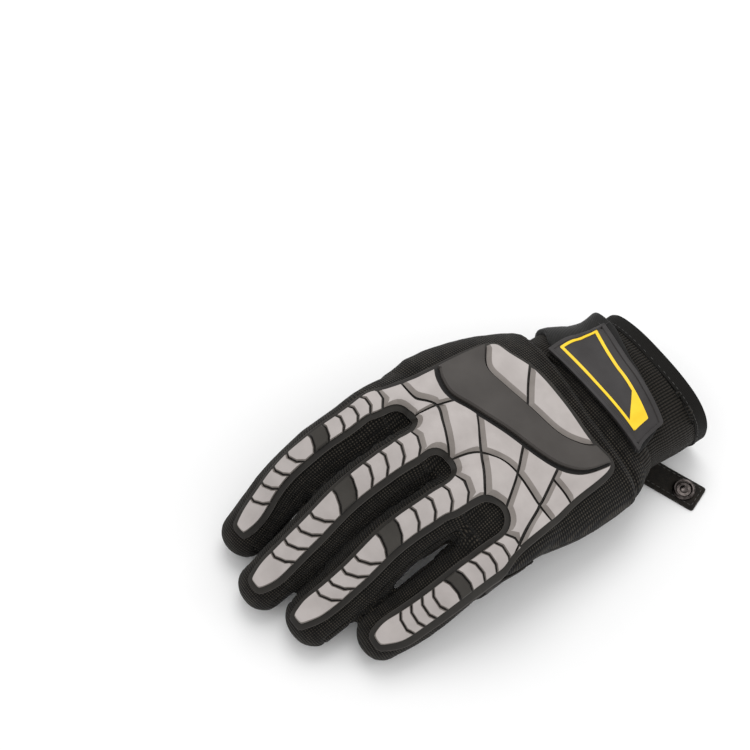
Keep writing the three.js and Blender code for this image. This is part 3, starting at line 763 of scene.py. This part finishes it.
# Sides too short to see are closed up, so that every plate has a clean outline.
shortest_side = 0.6
while True:
    sides = [edge for edge in network.edges if any(face[kind] != flange_kind for face in edge.link_faces)]
    side = min(sides, key=lambda edge: edge.calc_length())
    if side.calc_length() > shortest_side:
        break
    fewer, more = sorted(side.verts, key=lambda vert: len(vert.link_edges))
    bmesh.ops.weld_verts(network, targetmap={fewer: more})
network.normal_update()
for face in network.faces:
    if face.normal.z < 0:
        face.normal_flip()
saddle_number = network.faces.layers.int.new("saddle")
for face in network.faces:
    if face[kind] != plate_kind:
        continue
    point = inner_point(face)
    if inside(point, band_area):
        face[kind] = band_kind
    for number, area in enumerate(saddle_areas):
        if inside(point, area):
            face[kind] = saddle_kind
            face[saddle_number] = number


room_share = 0.9
corner_reach = 2.2
slope_onset = 1.5
least_crossing = 0.25
longest_knot = 7
untangling_passes = 5


def untangle(face, goals):
    """Keeps a face's new corners inside it and in their order, and takes out what its sides would cross."""
    edge_line = [vert.co.xy for vert in face.verts]
    outside = [loop for loop in face.loops if not inside(goals[loop.vert], edge_line)]
    for loop in outside:
        goals[loop.vert] = (goals[loop.link_loop_prev.vert] + goals[loop.link_loop_next.vert]) / 2
    for loop in list(face.loops) * untangling_passes:
        one, other = loop.vert, loop.link_loop_next.vert
        if (other.co - one.co).xy.dot(goals[other] - goals[one]) < 0:
            goals[one] = goals[other] = (goals[one] + goals[other]) / 2
    corners = [vert for vert in face.verts] * 2
    for gap in range(2, min(longest_knot, len(face.verts) - 2)):
        for i in range(len(face.verts)):
            knot = corners[i:i + gap + 2]
            meet = intersect_line_line_2d(*[goals[vert] for vert in knot[:2] + knot[-2:]])
            for vert in knot[1:-1] if meet else []:
                goals[vert] = meet


def draw_in(faces, flat, sloping):
    """Moves each corner of the faces inwards: further at sides that face the fingertips."""
    moves = {}
    for face in faces:
        room = face.calc_area() / max(face.calc_perimeter(), 1e-6) * room_share
        corners = [loop.vert for loop in face.loops]
        count = len(corners)
        for i, vert in enumerate(corners):
            sides = []
            for one, other in ((corners[i - 1], vert), (vert, corners[(i + 1) % count])):
                way = (other.co - one.co).xy
                out = Vector((way.y, -way.x)).normalized() if way.length > 1e-9 else Vector((0, 0))
                sides.append((out, flat + (sloping - flat) * min(max(-out.y * slope_onset, 0), 1)))
            (first, near), (second, far) = sides
            near, far = min(near, room), min(far, room)
            crossing = first.x * second.y - first.y * second.x
            if abs(crossing) > least_crossing:
                x = (-near * second.y + far * first.y) / crossing
                y = (-far * first.x + near * second.x) / crossing
                move = Vector((x, y))
                if move.length > corner_reach * max(near, far):
                    move *= corner_reach * max(near, far) / move.length
            else:
                both = first + second
                move = both.normalized() * -(near + far) / 2 if both.length > 0.1 else Vector((0, 0))
            moves[vert] = move
    goals = {vert: vert.co.xy + move for vert, move in moves.items()}
    for face in faces:
        untangle(face, goals)
    for vert, goal in goals.items():
        vert.co.x, vert.co.y = goal


thin_ring = 0.005
# The guard's slopes, which face the fingertips, take a darker grey than the plate tops: painted shade.
painted_shade_slope_finish, plate_finish, painted_shadow_gap_finish, painted_highlight_rim_finish = range(1, 5)


def level(faces, height):
    for face in faces:
        for vert in face.verts:
            vert.co.z = height


def raise_plates(bm, plates, wall, top, flat, sloping, side_number=0, top_number=0):
    """Raises flat faces into plates: an upright wall, a slope towards the tips and a level top."""
    raised = bmesh.ops.extrude_face_region(bm, geom=plates)["geom"]
    for item in raised:
        if isinstance(item, bmesh.types.BMVert):
            item.co.z = wall
    tops = [item for item in raised if isinstance(item, bmesh.types.BMFace)]
    slopes = bmesh.ops.inset_individual(bm, faces=tops, thickness=thin_ring)["faces"]
    for face in slopes:
        face.material_index = side_number
    draw_in(tops, flat, sloping)
    for face in tops:
        face.material_index = top_number
    level(tops, top)
    top_verts = list({vert for face in tops for vert in face.verts})
    bmesh.ops.remove_doubles(bm, verts=top_verts, dist=thin_ring * 0.6)


def gridded(bm, step, degrees=37):
    """Cuts a flat piece into small squares, turned so that no cut runs along an edge, to let it bend."""
    turn = math.radians(degrees)
    for axis in (Vector((math.cos(turn), math.sin(turn), 0)), Vector((-math.sin(turn), math.cos(turn), 0))):
        reach = [axis.dot(vert.co) for vert in bm.verts]
        for k in range(1, math.ceil((max(reach) - min(reach)) / step)):
            geometry = bm.verts[:] + bm.edges[:] + bm.faces[:]
            place = axis * (min(reach) + k * step)
            bmesh.ops.bisect_plane(bm, geom=geometry, dist=0.0005, plane_co=place, plane_no=axis)
    bmesh.ops.recalc_face_normals(bm, faces=bm.faces)


broad_tree = BVHTree.FromPolygons(
    [vert.co for vert in broad_skin.vertices], [polygon.vertices[:] for polygon in broad_skin.polygons],
)


def leaning(point):
    """The way that the skin faces at a point, without its small unevenness."""
    near, _, number, _ = broad_tree.find_nearest(point)
    corners = broad_skin.polygons[number].vertices
    weights = poly_3d_calc([broad_skin.vertices[i].co for i in corners], near)
    return sum((broad_skin.vertices[i].normal * w for i, w in zip(corners, weights)), Vector()).normalized()


above_hand = 120
finger_side_height = 10


def laid_on_back(bm, lift):
    """Lays a flat piece over the back of the hand. Its z becomes its height over the skin."""
    for vert in bm.verts:
        above = placed((vert.co.x, vert.co.y, above_hand))
        spot = hand_tree.ray_cast(above, -skyward)[0]
        if spot is None:
            spot = hand_tree.find_nearest(placed((vert.co.x, vert.co.y, finger_side_height)))[0]
        vert.co = spot + leaning(spot) * (vert.co.z + lift) * mm


def moulded_rubber(name, dark, light, roughness, gloss, mottle, grain=0, depth=0.00004):
    """Rubber with a slightly uneven tone, at the scale mottle, and the fine grain of its mould."""
    middle = [(low + high) / 2 for low, high in zip(dark, light)]
    rubber = Finish(name, middle, roughness, Specular_IOR_Level=gloss)
    rubber.mottled(mottle, dark, light)
    if grain:
        rubber.relief(rubber.noise(rubber.where(), grain), depth)
    return rubber


flange_rubber = moulded_rubber("dark_rubber_flange", (26, 23, 20), (38, 35, 30), 0.6, 0.35, 90, 1600, 0.00005)
# The slope rubber is the plate rubber made darker: painted shade on the sides that face the fingertips.
painted_shade_slope_rubber = moulded_rubber("grey_rubber_slope_painted_shade", (117, 110, 105), (132, 125, 120), 0.6, 0.5, 120, 1800)
plate_rubber = moulded_rubber(
    "light_rubber_plate", (167, 160, 157), (180, 173, 170), 0.62, 0.5, 110, 1800, 0.00005,
)
# The gap rubber is near black: painted shadow in the channels along the band and the saddles.
painted_shadow_gap_rubber = moulded_rubber("black_painted_shadow_gap", (13, 12, 11), (21, 19, 18), 0.8, 0.5, 90)
# The band rubber also colours the flange's rounded rim, where its lighter tone is a painted highlight.
band_and_rim_highlight_rubber = moulded_rubber("dark_rubber_band_and_rim_highlight", (58, 54, 51), (69, 65, 62), 0.55, 0.35, 70, 1500)


def on_strip(point):
    """Whether a flat point lies on one of the strips, below its last scale."""
    for strip, area in zip(strips.values(), strip_areas):
        if point.y < strip["saddle"][1] + cell_count * strip["scale"] and inside(point, area):
            return True
    return False


guard = network.copy()
kind = guard.faces.layers.int["kind"]
under = bmesh.ops.extrude_face_region(guard, geom=guard.faces[:])["geom"]
upper_verts = {item for item in under if isinstance(item, bmesh.types.BMVert)}
for vert in upper_verts:
    vert.co.z = guard_top["flange"]
plates = [f for f in guard.faces if f[kind] == plate_kind and all(vert in upper_verts for vert in f.verts)]
strip_plates = [face for face in plates if on_strip(inner_point(face))]
back_plates = [face for face in plates if face not in strip_plates]
# The flange faces below the band and the saddles are coloured black: painted shadow where the channels bare
# them.
for face in guard.faces:
    if face[kind] in (band_kind, saddle_kind):
        face.material_index = painted_shadow_gap_finish
# The flange's outer edge is rounded, and the rounding takes the lighter band rubber: a painted highlight.
rim = [
    edge for edge in guard.edges
    if all(vert in upper_verts for vert in edge.verts)
    and any(not upper_verts.issuperset(face.verts) for face in edge.link_faces)
]
bmesh.ops.bevel(
    guard, geom=rim, offset=flange_rim, segments=2, profile=0.5, affect="EDGES", material=painted_highlight_rim_finish,
    clamp_overlap=True,
)
bmesh.ops.inset_individual(guard, faces=plates, thickness=thin_ring)
draw_in(strip_plates, strip_groove_half, strip_groove_half)
draw_in(back_plates, back_groove_half, back_groove_half)
for some_plates, slope in ((strip_plates, strip_slope), (back_plates, back_slope)):
    raise_plates(
        guard, some_plates, guard_top["wall"], guard_top["plate"], edge_width, slope,
        side_number=painted_shade_slope_finish, top_number=plate_finish,
    )
gridded(guard, plan_step)
laid_on_back(guard, guard_lift)
guard_piece = piece_of(
    "knuckle_guard_rubber", guard,
    flange_rubber, painted_shade_slope_rubber, plate_rubber, painted_shadow_gap_rubber, band_and_rim_highlight_rubber, sharp=28,
)
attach(guard_piece, "root")
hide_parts("knuckle_guard")

# Band and saddles. A broad band of dark rubber crosses the back of the hand, and a small saddle of it each
# finger's middle joint. Each is moulded by itself and glued into the place that the plates leave for it.
saddle_rubber = moulded_rubber("dark_rubber_saddle", (47, 44, 40), (60, 57, 53), 0.6, 0.3, 70, 1500)
# Each channel bares a strip of the black faces below its piece at the tip-facing side: a painted shadow line.
band_top = dict(top=guard_top["band"], flat=0.5, sloping=0.7, channel=band_channel)
saddle_top = dict(top=guard_top["saddle"], flat=0.4, sloping=0.5, channel=0.2)


def moulding(name, node, wanted, finish, top, flat, sloping, channel):
    """Raises the faces of one kind and number into a piece of its own, on the flange."""
    bm = network.copy()
    kinds, numbers = bm.faces.layers.int["kind"], bm.faces.layers.int["saddle"]
    others = [face for face in bm.faces if (face[kinds], face[numbers]) != wanted]
    bmesh.ops.delete(bm, geom=others, context="FACES")
    bmesh.ops.dissolve_faces(bm, faces=bm.faces[:])
    faces = bm.faces[:]
    draw_in(faces, strip_groove_half, strip_groove_half + channel)
    foot = guard_top["flange"]
    for vert in bm.verts:
        vert.co.z = foot
    raise_plates(bm, faces, (foot + 2 * top) / 3, top, flat, sloping)
    gridded(bm, plan_step)
    laid_on_back(bm, guard_lift)
    piece = piece_of(name, bm, finish, sharp=32)
    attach(piece, "root")
    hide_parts(node)


moulding("back_band_rubber", "back_band", (band_kind, 0), band_and_rim_highlight_rubber, **band_top)
for number, name in enumerate(strips):
    moulding(f"{name}_saddle_rubber", f"{name}_saddle", (saddle_kind, number), saddle_rubber, **saddle_top)

# Palm layers. A second layer of suede is sewn over the roots of the fingers, and a padded patch of thin
# leather over the heel of the hand, each with its raw edge turned under and a double row of thread.
overlay_outline = [
    (-64, -30), (-64, -44), (-37, -44), (-36, -33), (-20, -34), (-14, -46), (10, -42), (14, -28),
    (33, -34), (44, -20), (44, -6), (28, -10), (18, -2), (6, -10), (-8, -16), (-22, -14), (-34, -20),
]
pad_outline = [
    (-14, -4), (4, -6), (26, 4), (34, 20), (30, 42), (12, 48), (4, 36), (10, 22), (6, 14), (-2, 18),
    (-6, 30), (-16, 24),
]
overlay_thickness = 0.8
overlay_swell = 0.25
overlay_edge = 1.2
pad_rim = 0.6
pad_height = 1.9
pad_slope = 4
outline_step = 1.5


def edge_distance(point, corners):
    """How far a flat point lies from an outline."""
    nearest = 1e9
    for one, other in zip(corners, corners[1:] + corners[:1]):
        side = other - one
        share = min(max((point - one).dot(side) / max(side.length_squared, 1e-9), 0), 1)
        nearest = min(nearest, (point - one - side * share).length)
    return nearest


def palm_layer(name, outline, height_at, finish, node, wall):
    """Lifts the part of the palm inside an outline off the skin, as a layer of its own."""
    area = evened([Vector(corner) for corner in outline], outline_step, passes=3)
    bm = skin_bm.copy()
    layer = bm.faces.layers.int["panel"]
    palm_number = panels.index("palm_panel")

    def plan_of(point):
        return (point / mm - drawing_middle).xy

    away = [
        face for face in bm.faces
        if face[layer] != palm_number or not inside(plan_of(face.calc_center_median()), area)
    ]
    bmesh.ops.delete(bm, geom=away, context="FACES")
    edge_passes = 10
    for _ in range(edge_passes):
        moves = {}
        for vert in bm.verts:
            near = [edge.other_vert(vert) for edge in vert.link_edges if edge.is_boundary]
            if len(near) == 2:
                moves[vert] = (near[0].co + near[1].co) / 2
        for vert, goal in moves.items():
            vert.co = vert.co.lerp(goal, 0.5)
    bm.normal_update()
    for vert in bm.verts:
        vert.co += vert.normal * height_at(edge_distance(plan_of(vert.co), area)) * mm
        vert.co.z = max(vert.co.z, 0)
    piece = piece_of(name, bm, finish)
    walled(piece, wall)
    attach(piece, "root")
    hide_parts(node)
    return piece


palm_layer(
    "finger_base_suede", overlay_outline,
    lambda away: overlay_thickness + overlay_swell * min(away / overlay_edge, 1),
    suede, "finger_base_overlay", overlay_thickness,
)
pad = palm_layer(
    "palm_pad_leather", pad_outline,
    lambda away: pad_rim + (pad_height - pad_rim) * math.sin(min(away / pad_slope, 1) * math.pi / 2),
    leather, "palm_patch", pad_rim,
)

# Cuff. It is a short tube of ribbed stretch knit, sewn in under the edge of the hand, with a folded
# elastic band round its mouth that one row of thread holds.
cuff_rows = [(5.2, 90, 20.3, 32, 20.6, 0), (4.2, 78, 20, 32, 20.3, 0), (0.5, 64, 19.9, 34.5, 20.1, 1),
             (-2, 54.3, 21.2, 37, 20, 3), (-2, 50.5, 21.7, 36.4, 18.4, 3)]
cuff_wall = 2.3
cuff_folds = 0.9
binding_length = 7
binding_proud = 0.45
binding_folds = 0.25
inside_cuff = placed((2, 70, 20))
ring_merge = 0.2
thread_radius = 0.2
thread_length = 1.9


def sleeve(rows, around, steps, grow=0.0, folds=0.0):
    """An open tube of cloth through sections, with the cloth's own map along and round it."""
    bm = bmesh.new()
    map_layer = bm.loops.layers.uv.new("weave")
    spans = (len(rows) - 1) * steps
    bmesh.ops.create_grid(bm, x_segments=around, y_segments=spans, size=0.5)
    rings, flat = {}, {}
    for vert in bm.verts:
        spot = round((vert.co.y + 0.5) * spans) / steps
        if spot not in rings:
            centre, along, across, up, width, height = ring_at(rows, spot)
            ring = []
            for k in range(around + 1):
                turn = k / around * 2 * math.pi
                swell = Vector((math.cos(turn) * 2.2, math.sin(turn) * 2.2, centre.y / 7))
                swell = noise.noise(swell) * folds + grow
                aside = across * (squarer(math.cos(turn), power_palm) * (width + swell))
                point = centre + aside + up * (squarer(math.sin(turn), power_palm) * (height + swell))
                point += up * max(-point.z / up.z, 0)
                run = ring[-1][1] + (point - ring[-1][0]).length if ring else 0.0
                ring.append((point, run))
            rings[spot] = ring
        point, run = rings[spot][round((vert.co.x + 0.5) * around)]
        flat[vert] = (between(rows, spot)[1], run)
        vert.co = placed(point)
    for face in bm.faces:
        for loop in face.loops:
            loop[map_layer].uv = flat[loop.vert]
    bmesh.ops.remove_doubles(bm, verts=bm.verts, dist=ring_merge * mm)
    bmesh.ops.recalc_face_normals(bm, faces=bm.faces)
    if sum(face.normal.dot(face.calc_center_median() - inside_cuff) for face in bm.faces) < 0:
        bmesh.ops.reverse_faces(bm, faces=bm.faces)
    return bm


def stitched(name, spots, finish):
    """A row of stitches, each a small slug of thread lying at a point along a way."""
    bm = bmesh.new()
    for point, along, out in spots:
        aside = out.cross(along).normalized()
        turn = Matrix((along.normalized(), aside, along.normalized().cross(aside))).transposed().to_4x4()
        size = Matrix.Diagonal((thread_length / 2 * mm, thread_radius * mm, thread_radius * mm, 1))
        bmesh.ops.create_uvsphere(
            bm, u_segments=6, v_segments=4, radius=1, matrix=Matrix.Translation(point) @ turn @ size,
        )
    piece = piece_of(name, bm, finish)
    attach(piece, "root")


cuff_rib = 1.3
cuff_row = 0.9
cuff_knit = Finish("cuff_knit", (22, 20, 17), 0.92, **cloth_sheen)
cuff_ribs = cuff_knit.wave(cuff_knit.on_cloth(), "Y", cuff_rib, 0.5)
cuff_rows_of_loops = cuff_knit.wave(cuff_knit.on_cloth(), "X", cuff_row, 0.3)
cuff_loops = cuff_knit.sum("MULTIPLY", cuff_ribs, cuff_rows_of_loops)
cuff_knit.colours(cuff_knit.sum("ADD", cuff_ribs, cuff_loops), (5, 5, 4), (46, 42, 37), 0.2, 1.7)
cuff_knit.relief(cuff_knit.sum("ADD", cuff_ribs, cuff_loops), 0.0003)

binding_elastic = Finish("binding_elastic", (20, 19, 17), 0.85, Sheen_Weight=0.03, Specular_IOR_Level=0.2)
binding_weave = binding_elastic.wave(binding_elastic.on_cloth(), "Y", 0.55, 0.2)
binding_elastic.colours(binding_weave, (7, 7, 6), (26, 24, 21), 0.1, 0.9)
binding_elastic.relief(binding_weave, 0.0001)

thread = Finish("black_thread", (52, 51, 50), 0.6)
thread.mottled(1200, (36, 35, 34), (74, 72, 70))

binding_spot = binding_length / (cuff_rows[0][1] - cuff_rows[1][1])
below_binding = [tuple(between(cuff_rows, binding_spot))] + cuff_rows[1:]
cuff_bm = sleeve(below_binding, around=128, steps=12, folds=cuff_folds)
cuff_tree = BVHTree.FromBMesh(cuff_bm)
cuff = piece_of("cuff_cloth", cuff_bm, cuff_knit)
walled(cuff, cuff_wall)
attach(cuff, "root")
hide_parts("cuff")

binding_rows = [tuple(between(cuff_rows, binding_spot * k / 3)) for k in range(4)]
binding_bm = sleeve(binding_rows, around=128, steps=4, grow=binding_proud, folds=binding_folds)
binding = piece_of("cuff_binding_band", binding_bm, binding_elastic)
walled(binding, cuff_wall + binding_proud, rounding=0.8)
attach(binding, "root")
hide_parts("cuff_binding")

stitch_spot = binding_spot * 0.86
stitch_count = 72
stitch_proud = binding_proud + 0.05
lowest_stitch = 0.6
centre, along, across, up, width, half = ring_at(cuff_rows, stitch_spot)
round_mouth = []
for k in range(stitch_count + 1):
    turn = k / stitch_count * 2 * math.pi
    aside = across * (squarer(math.cos(turn), power_palm) * (width + stitch_proud))
    upwards = up * (squarer(math.sin(turn), power_palm) * (half + stitch_proud))
    round_mouth.append(centre + aside + upwards)
cuff_stitches = []
for point, onwards in zip(round_mouth, round_mouth[1:]):
    if point.z > lowest_stitch:
        cuff_stitches.append((placed(point), onwards - point, (point - centre).normalized()))
stitched("cuff_binding_thread", cuff_stitches, thread)

# Strap and label. A woven strap comes over from a seam on the thumb side and closes by hooks on the back
# of the cuff. A flat moulded rubber label is sewn on it, with a raised border and a yellow frame.
over_rows = cuff_rows[:3] + [
    (-2, 54.3, 21.2, 37.8, 20.1, 3), (-2, 46, 22.2, 42.4, 20.5, 4), (-3, 36, 24.4, 45.4, 20.6, 6),
    (-4.6, 27, 27, 47, 20.5, 8),
]
over_spots = [(between(over_rows, k / 100)[1], k / 100) for k in range((len(over_rows) - 1) * 100 + 1)]
cuff_around = 34
strap_thickness = 2.0
strap_lift = 0.3
strap_slack = 3.4
slack_w = -40
slack_reach = 15
slack_from_y = 60
slack_growth = 25
label_thickness = 1.5
label_lift = 2.5
label_sunk = 0.45
frame_height = 0.35
frame_foot = 0.1
plan_square = 2.2


def over_cuff(w, y, height=0.0, part=0.04):
    """A point over the cuff: w is how far round it lies from the top, towards the little finger."""
    spot = min(over_spots, key=lambda item: abs(item[0] - y))[1]
    x, _, z, width, half, roll = between(over_rows, spot)
    rolled = Matrix.Rotation(math.radians(roll), 3, "Y")

    def at(turn):
        aside = squarer(math.cos(turn), power_palm) * width
        return Vector((x, y, z)) + rolled @ Vector((aside, 0, squarer(math.sin(turn), power_palm) * half))

    turn = math.pi / 2 - w / cuff_around
    onwards = at(turn - part) - at(turn + part)
    return at(turn) + Vector((-onwards.z, 0, onwards.x)).normalized() * height


strap_root_w = -72
strap_corners = [
    (strap_root_w, 63), (-34, 60.5), (-22, 56), (0, 54), (30, 51.4), (32, 57), (28, 66), (-20, 83.6),
    (strap_root_w + 24, 87), (strap_root_w, 84),
]
label_corners = [(-18.6, 52.8), (28.8, 51.8), (26.4, 68.6), (9, 72.5), (-9, 77.1), (-26.4, 82)]


def flat_piece(corners, rounding):
    """One flat face inside an outline, with its corners rounded."""
    bm = bmesh.new()
    bm.faces.new([bm.verts.new((x, y, 0)) for x, y in corners])
    bm.normal_update()
    if bm.faces[:][0].normal.z < 0:
        bmesh.ops.reverse_faces(bm, faces=bm.faces)
    bmesh.ops.bevel(
        bm, geom=bm.verts[:], offset=rounding, segments=4, profile=0.5, affect="VERTICES", material=-1,
    )
    return bm


def laid_on_cuff(bm, lift, slack=0.0, search=6):
    """Lays a flat piece over the cuff: on the cloth, clear of it by its own height, or a little off it."""
    for vert in bm.verts:
        w, y, height = vert.co
        height += lift
        near_fold = math.exp(-((w - slack_w) / slack_reach) ** 2)
        off = height + slack * near_fold * min(max((y - slack_from_y) / slack_growth, 0), 1)
        spot = placed(over_cuff(w, y))
        out = placed(over_cuff(w, y, 1)) - spot
        for tree in (cuff_tree, skin_tree):
            hit = tree.ray_cast(spot + out * search, -out, 2 * search * mm)[0]
            if hit:
                off = max(off, (hit - spot).dot(out) / mm ** 2 + height)
        vert.co = spot + out * off


def thickened(bm, height, soft):
    """Gives a flat face its thickness, with a softened upper edge."""
    raised = bmesh.ops.extrude_face_region(bm, geom=bm.faces[:])["geom"]
    for item in raised:
        if isinstance(item, bmesh.types.BMVert):
            item.co.z = height - soft
    tops = [item for item in raised if isinstance(item, bmesh.types.BMFace)]
    for inset_share, drop_share in ((0.35, 0.3), (0.65, 0)):
        bmesh.ops.inset_individual(bm, faces=tops, thickness=soft * inset_share, use_even_offset=True)
        level(tops, height - soft * drop_share)
    return tops


webbing = Finish("woven_strap", (18, 17, 16), 0.7, Sheen_Weight=0.04, Specular_IOR_Level=0.25)
webbing_weave = webbing.wave(webbing.where(), "DIAGONAL", 0.0009)
webbing.mottled(900, (11, 11, 10), (26, 25, 24))
webbing.relief(webbing_weave, 0.00008)

label_rubber = moulded_rubber("label_rubber", (39, 36, 36), (50, 47, 47), 0.55, 0.4, 130, 1700, 0.00005)
yellow_rubber = moulded_rubber("yellow_rubber", (244, 200, 14), (252, 212, 30), 0.5, 0.5, 200)

strap_bm = flat_piece(strap_corners, rounding=2.0)
thickened(strap_bm, strap_thickness, soft=0.9)
gridded(strap_bm, step=2.6)
laid_on_cuff(strap_bm, strap_lift, strap_slack)
strap = piece_of("wrist_strap_web", strap_bm, webbing, sharp=50)
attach(strap, "root")
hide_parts("wrist_strap")

label_border = 1.3
label_step = 0.35
label_bm = flat_piece(label_corners, rounding=1.4)
label_tops = thickened(label_bm, label_thickness, soft=0.5)
for width in (label_border, label_step):
    bmesh.ops.inset_individual(label_bm, faces=label_tops, thickness=width, use_even_offset=True)
level(label_tops, label_thickness - label_sunk)
gridded(label_bm, plan_square)
laid_on_cuff(label_bm, label_lift)
label = piece_of("strap_label_rubber", label_bm, label_rubber, sharp=30)
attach(label, "root")
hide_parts("strap_label")

frame_corners = [(-17, 57.2), (21.4, 55.9), (20.4, 64.3), (7, 67.6), (-8, 71.8), (-22.6, 76.3)]
frame_end = [Vector((6.6, 66.8)), Vector((17.2, 56.7))]
frame_width = 1.2
bare_field = Vector((-8, 65))
frame_bm = flat_piece(frame_corners, rounding=0.5)
bmesh.ops.inset_region(
    frame_bm, faces=frame_bm.faces[:], thickness=frame_width, use_boundary=True, use_even_offset=True,
)
cut(frame_bm, frame_end)
bare = [face for face in frame_bm.faces if inside(bare_field, [vert.co.xy for vert in face.verts])]
bmesh.ops.delete(frame_bm, geom=bare, context="FACES")
frame_bm.normal_update()
for face in frame_bm.faces:
    if face.normal.z < 0:
        face.normal_flip()
for item in bmesh.ops.extrude_face_region(frame_bm, geom=frame_bm.faces[:])["geom"]:
    if isinstance(item, bmesh.types.BMVert):
        item.co.z += frame_height
gridded(frame_bm, plan_square)
laid_on_cuff(frame_bm, label_lift + label_thickness - label_sunk - frame_foot)
yellow_frame = piece_of("label_frame_yellow", frame_bm, yellow_rubber, sharp=40)
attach(yellow_frame, "root")

# Pull tab. A strip of doubled suede, sewn in under the cuff's little finger side and stitched round its
# edge, lies flat on the table. A black nickel snap is set through its free end.
tab_length = 38
tab_thickness = 1.8
half_tab = 6.1
tab_turn = Matrix.Rotation(math.radians(17), 4, "Z")
tab_root = Vector((17, 61.9, 0))
tab_unevenness = 0.25
snap_from_end = 7.6
snap_radius = 4.9


def on_tab(along, aside, height):
    """A point of the tab: how far it lies along it, off its middle line and over the table."""
    return placed(tab_turn @ Vector((along, aside, height)) + tab_root)


tab_corners = [(0, -half_tab), (tab_length, -half_tab), (tab_length, half_tab), (0, half_tab)]
tab_bm = flat_piece(tab_corners, rounding=1.2)
thickened(tab_bm, tab_thickness, soft=0.6)
gridded(tab_bm, step=2.0)
for vert in tab_bm.verts:
    sag = noise.noise(vert.co * 0.16) * tab_unevenness if vert.co.z > 0.5 else 0
    vert.co = on_tab(vert.co.x, vert.co.y, max(vert.co.z + sag - tab_unevenness, 0))
tab = piece_of("pull_tab_suede", tab_bm, suede, sharp=55)
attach(tab, "root")
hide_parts("pull_tab")

stitch_inset = 1.5
stitch_height = tab_thickness - 0.22
first_stitch, stitch_step, side_stitches = 6, 2.45, 13
end_stitch, end_step, end_stitches = -3.6, 2.4, 4
tab_way, tab_end_way = tab_turn.to_3x3() @ Vector((1, 0, 0)), tab_turn.to_3x3() @ Vector((0, 1, 0))
tab_stitches = []
for side in (-1, 1):
    for k in range(side_stitches):
        point = on_tab(first_stitch + k * stitch_step, side * (half_tab - stitch_inset), stitch_height)
        tab_stitches.append((point, tab_way, skyward))
for k in range(end_stitches):
    point = on_tab(tab_length - stitch_inset, end_stitch + k * end_step, stitch_height)
    tab_stitches.append((point, tab_end_way, skyward))
stitched("pull_tab_thread", tab_stitches, thread)

nickel = Finish("black_nickel", (66, 60, 58), 0.24, Metallic=1.0)
nickel.mottled(700, (50, 45, 43), (92, 86, 84))
nickel.dullness(nickel.noise(nickel.where(), 2500), 0.16, 0.34)
snap_side = [
    (0, 1.35), (1.1, 1.35), (1.7, 1.1), (1.8, 0.8), (3.0, 0.75), (3.3, 1.2), (3.6, 1.62), (4.1, 1.7),
    (4.6, 1.45), (snap_radius, 0.9), (snap_radius, 0), (0, 0),
]
snap_bm = bmesh.new()
side_verts = [snap_bm.verts.new((away, 0, height)) for away, height in snap_side]
side_edges = [snap_bm.edges.new(pair) for pair in zip(side_verts, side_verts[1:])]
bmesh.ops.spin(
    snap_bm, geom=side_verts + side_edges, cent=(0, 0, 0), axis=(0, 0, 1), angle=2 * math.pi, steps=40,
    use_merge=True,
)
bmesh.ops.remove_doubles(snap_bm, verts=snap_bm.verts, dist=0.001)
bmesh.ops.recalc_face_normals(snap_bm, faces=snap_bm.faces)
snap_middle = Vector((tab_length - snap_from_end, 0, tab_thickness - 0.3))
for vert in snap_bm.verts:
    vert.co = on_tab(*(vert.co + snap_middle))
snap = piece_of("snap_nickel", snap_bm, nickel, sharp=35)
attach(snap, "root")
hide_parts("snap")
